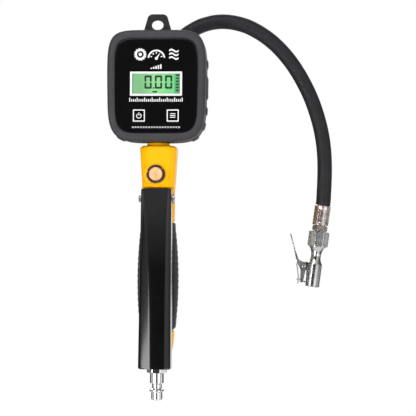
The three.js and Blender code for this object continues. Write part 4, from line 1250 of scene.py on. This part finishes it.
def make_spring(name, node, turns, wire):
    """Coil of wire that fills the length of its CAD node."""
    low, high = extent(node)
    centre = (low + high) / 2
    radius = (high.x - low.x) / 2 - wire
    axis = Vector((0, 1, 0))
    steps = turns * 32
    rings = []
    for k in range(steps + 1):
        angle = TURN * turns * k / steps
        out = Vector((cos(angle), 0, sin(angle)))
        place = centre + radius * out
        place.y = low.y + wire + (high.y - low.y - 2 * wire) * k / steps
        rings.append([tuple(place + wire * (cos(a) * out + sin(a) * axis)) for a in round_angles(12)])
    coil = finished(skin(name, rings), "spring_steel", node)
    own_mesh(coil)


def crimped(name, radius, z0, z1, inner):
    """Ferrule squeezed by a six-jaw press: flats between raised lines, and a plain rim at each end."""
    span = z1 - z0
    soft, pressed_in, line_deep = 0.35, 0.42, 0.12
    profile = [(inner, z0 + 0.3), (inner, z0), (radius - soft, z0), (radius, z0 + soft)]
    profile += [(radius, z0 + span * k / 22) for k in range(1, 22)]
    profile += [(radius, z1 - soft), (radius - soft, z1), (inner, z1), (inner, z1 - 0.3)]

    def squeeze(r, angle, z):
        if r < radius - 0.5:
            return r
        t = (z - z0) / span
        pressed = max(0.0, min(1.0, (t - 0.12) / 0.06)) * max(0.0, min(1.0, (0.88 - t) / 0.06))
        ridge = abs(cos(3 * angle)) ** 14
        ring = line_deep * max(0.0, cos(TURN * t * 3.0)) ** 6
        return r - pressed * (pressed_in * (1 - ridge) + ring)

    return turned(name, profile, 96, True, squeeze)


def make_port():
    """Adaptor, washer and ferrule on the upright port behind the head."""
    place = at(0, PORT.y, 0)
    nut = chamfered_nut(14, -82.9, -76.2, 0.8)
    base = turned("base", [(5.2, -90), (5.2, -82.8)], 48)
    finished(united("adaptor_body", nut, base), "brass", "hose_adaptor", place=place)
    rubber_washer("port_washer", "port_seal", 5.5, 7.2, -83.95, -83.0, PORT.y)
    finished(crimped("body_sleeve", 7.4, -76, -57, 6.1), "nickel_crimp", "body_ferrule", place=place)


def make_inlet():
    """Quick-release plug: its nose, groove and barrel from the end upward, and the nut against the handle."""
    end = extent("inlet_plug")[0].z
    seal_low, seal_high = extent("inlet_seal")
    profile = [(2.3, 2), (2.3, 0.3), (2.7, 0), (4.4, 0), (5.0, 0.9), (4.9, 6.8), (6.4, 7.7), (6.4, 9.0),
               (4.4, 10.0), (4.4, 13.8), (6.15, 14.7), (6.15, 23.4), (5.4, 24.2), (5.4, 30), (4.4, 31),
               (4.4, 44), (2.3, 44)]
    body = lathe("nose", [(radius, end + up) for radius, up in profile], 0.35, 3, 80, ring=True)
    nut = chamfered_nut(NUT_ACROSS, end + 23.6, end + 31.3, 0.9, 0.0, 8)
    without(nut, bore(2.4, end + 20, end + 34, 40))
    finished(united("inlet_nipple", body, nut), "chrome", "inlet_plug", place=at(0, PLUG.y, 0))
    rubber_washer("inlet_washer", "inlet_seal", 4.9, 7.6, seal_low.z, seal_high.z, PLUG.y)


# ------------------------------ chuck

CHUCK_PLACE = at(*CHUCK_TOP) @ turned_by(CHUCK_TILT, "Y")


def chuck_barrel():
    """Waisted barrel with eight notches in its rim and a slot for the jaw."""
    profile = [(3.2, -36), (7.6, -35.2), (6.4, -36.8), (5.2, -38.9), (4.55, -41.2), (4.25, -43.5),
               (4.35, -45.7), (4.9, -47.8), (5.9, -49.6), (6.5, -50.6), (6.5, -70.3), (6.2, -70.6),
               (4.6, -70.6), (4.4, -70.2), (4.4, -55), (3.2, -55)]
    cuts = [block("jaw_slot", -8, -3.4, -2.9, 2.9, -72, -61)]
    for k in range(8):
        notch = block("notch", 4.0, 8, -0.8, 0.8, -72, -69.5)
        cuts.append(moved(notch, turned_by(45 * k + 22.5, "Z")))
    return without(lathe("barrel", profile, 0.8, 4, 96, ring=True), *cuts)


def chuck_ears():
    """Two ears that hold the clip's pin."""
    outline = [(-5.4, -49.8), (-10.6, -50.4), (-11.7, -52.4), (-11.2, -55.2), (-9.4, -56.6), (-5.4, -58)]
    ears = [plate("ear", [rounded(outline, 1.4)], side, side + 1.1, 0.2) for side in (1.9, -3.0)]
    return without(united("ears", *ears), bore(1.05, -6, 6, 24, along_y(CLIP_X, 0, CLIP_Z)))


def make_chuck():
    """Crimped sleeve, small nut and the chuck itself; returns every piece that hangs on the hose's end."""
    sleeve = crimped("crimp_sleeve", 6.95, -17, 0.4, 6.4)
    finished(sleeve, "nickel_crimp", "hose_ferrule", place=CHUCK_PLACE)
    small = chamfered_nut(11.4, -22, -17.3, 0.6, 3.75)
    neck = turned("neck", [(AXIS, -22.5), (4.2, -22.5), (4.2, -16.5), (AXIS, -16.5)], 40)
    nipple = united("nipple_hex", small, neck)
    finished(nipple, "nickel_crimp", "chuck_nipple", slot="brass", place=CHUCK_PLACE)
    nut = without(chamfered_nut(NUT_ACROSS, -35.4, -22.3, 1.3, 6.0, 8), bore(3.2, -38, -20, 40))
    body = united("chuck_shell", chuck_barrel(), nut, chuck_ears())
    finished(body, "satin_chrome", "chuck_body", slot="chrome", angle=32, place=CHUCK_PLACE)
    return [sleeve, nipple, body, make_clip(), make_rivet(), make_leaf()]


def clip_blade():
    """Thumb blade of the clip, bowed and narrower at its end."""
    half, thick, length = 4.4, 0.55, 30
    line = [(-24.6, -27.3), (-19.2, -40.7), (-16.4, -48.4), (-14.9, -53.5)]
    rings = []
    for i, point in enumerate(smooth_path([(x * MM, 0, z * MM) for x, z in line], 10)):
        x, z = point.x / MM, point.z / MM
        wide = half * (1 - 0.25 * max(0.0, 1 - i / length * 6) ** 2)
        rings.append([(x - thick, -wide, z), (x + thick, -wide, z + 0.2), (x + thick, wide, z + 0.2),
                      (x - thick, wide, z)])
    return bevelled(skin("blade", rings), 0.25, 2)


def make_clip():
    """Pressed steel side lever: a thumb blade, two cheeks round the pin and a jaw that bites the thread."""
    cheek = rounded([(-19.6, -41.6), (-17.8, -42.0), (-14.6, -48.6), (-11.4, -50.2), (-8.0, -50.4),
                     (-7.3, -56.4), (-8.2, -68.0), (-10.9, -68.1), (-11.6, -58), (-14.4, -53.6),
                     (-16.3, -50)], 1.2)
    hole = circle(CLIP_X, CLIP_Z, 1.3, 20)
    web = rounded([(-11.0, -60), (-10.2, -60), (-9.9, -68.1), (-10.9, -68.1)], 0.2, 2)
    jaw = rounded([(-10.6, -66.5), (-5.2, -66.7), (-4.6, -67.2), (-5.2, -67.7), (-10.6, -68.1)], 0.25, 2)
    parts = [clip_blade(), *(plate("cheek", [cheek, hole], side, side + 1.0, 0.22) for side in (-4.4, 3.4)),
             plate("web", [web], -3.6, 3.6, 0.1), plate("jaw", [jaw], -2.3, 2.3, 0.1)]
    lever = united("clip_blade", *parts)
    return finished(lever, "spring_steel", "clip_lever", body="clip", place=CHUCK_PLACE)


def make_rivet():
    half = [(1, 4.5), (1.6, 4.6), (1.5, 5.1), (AXIS, 5.3)]
    profile = [(radius, -height) for radius, height in reversed(half)] + half
    pin = moved(lathe("clip_rivet", profile, 0.15, 2, 32), along_y(CLIP_X, 0, CLIP_Z))
    return finished(pin, "bright_steel", "clip_pin", slot="spring_steel", place=CHUCK_PLACE)


def make_leaf():
    """Leaf spring of the clip, flattened from wire, and the cross rod that it bears on."""
    line = [(-15.9, -51.6), (-15.2, -54.4), (-13.6, -60.0), (-12.6, -64.8), (-12.4, -69.8)]
    rings = [[(point.x + 0.4 * cos(a), 1.3 * sin(a), point.z) for a in round_angles(16)]
             for point in smooth_path([(x, 0, z) for x, z in line], 8)]
    profile = [(AXIS, -2.2), (0.55, -2.1), (0.55, 2.1), (AXIS, 2.2)]
    rod = moved(lathe("cross_rod", profile, 0.2, 2, 20), along_x(-11.9, 0, -66))
    leaf = united("clip_leaf", skin("leaf", rings), rod)
    return finished(leaf, "spring_steel", "clip_spring", body="clip", place=CHUCK_PLACE)


# ------------------------------ carried-over nodes

CARRIED = {
    "case_plastic": ["case_front"],
    "bright_steel": ["power_switch", "function_switch", "left_contact", "right_contact", "pressure_sensor",
                     "valve_stem"],
    "circuit_board": ["circuit_board"],
    "cell_sleeve": ["upper_cell", "lower_cell"],
    "brass": ["gauge_stem", "valve_gland", "inlet_filter", "chuck_core"],
    "seal_rubber": ["bleed_seal", "valve_seal", "chuck_seal"],
}


def finish_carried():
    for finish, names in CARRIED.items():
        for name in names:
            obj = NODES[name]
            obj.data.materials.clear()
            obj.data.materials.append(FINISHES[finish].material)


# ------------------------------ build

bpy.context.scene.view_settings.view_transform = "Standard"
make_camera()
make_world()
make_floor()
make_lights()
hose_piece, hose_path, hose_length = make_hose()
chuck_pieces = make_chuck()
make_boot()
make_back()
make_door()
make_screws()
make_face()
make_keys()
make_marks()
make_casting()
make_grip()
make_bleed()
make_lever()
make_lever_pin()
make_valve_cap()
make_spring("bleed_coil", "bleed_spring", 4, 0.3)
make_spring("valve_coil", "valve_spring", 4, 0.5)
make_port()
make_inlet()
finish_carried()
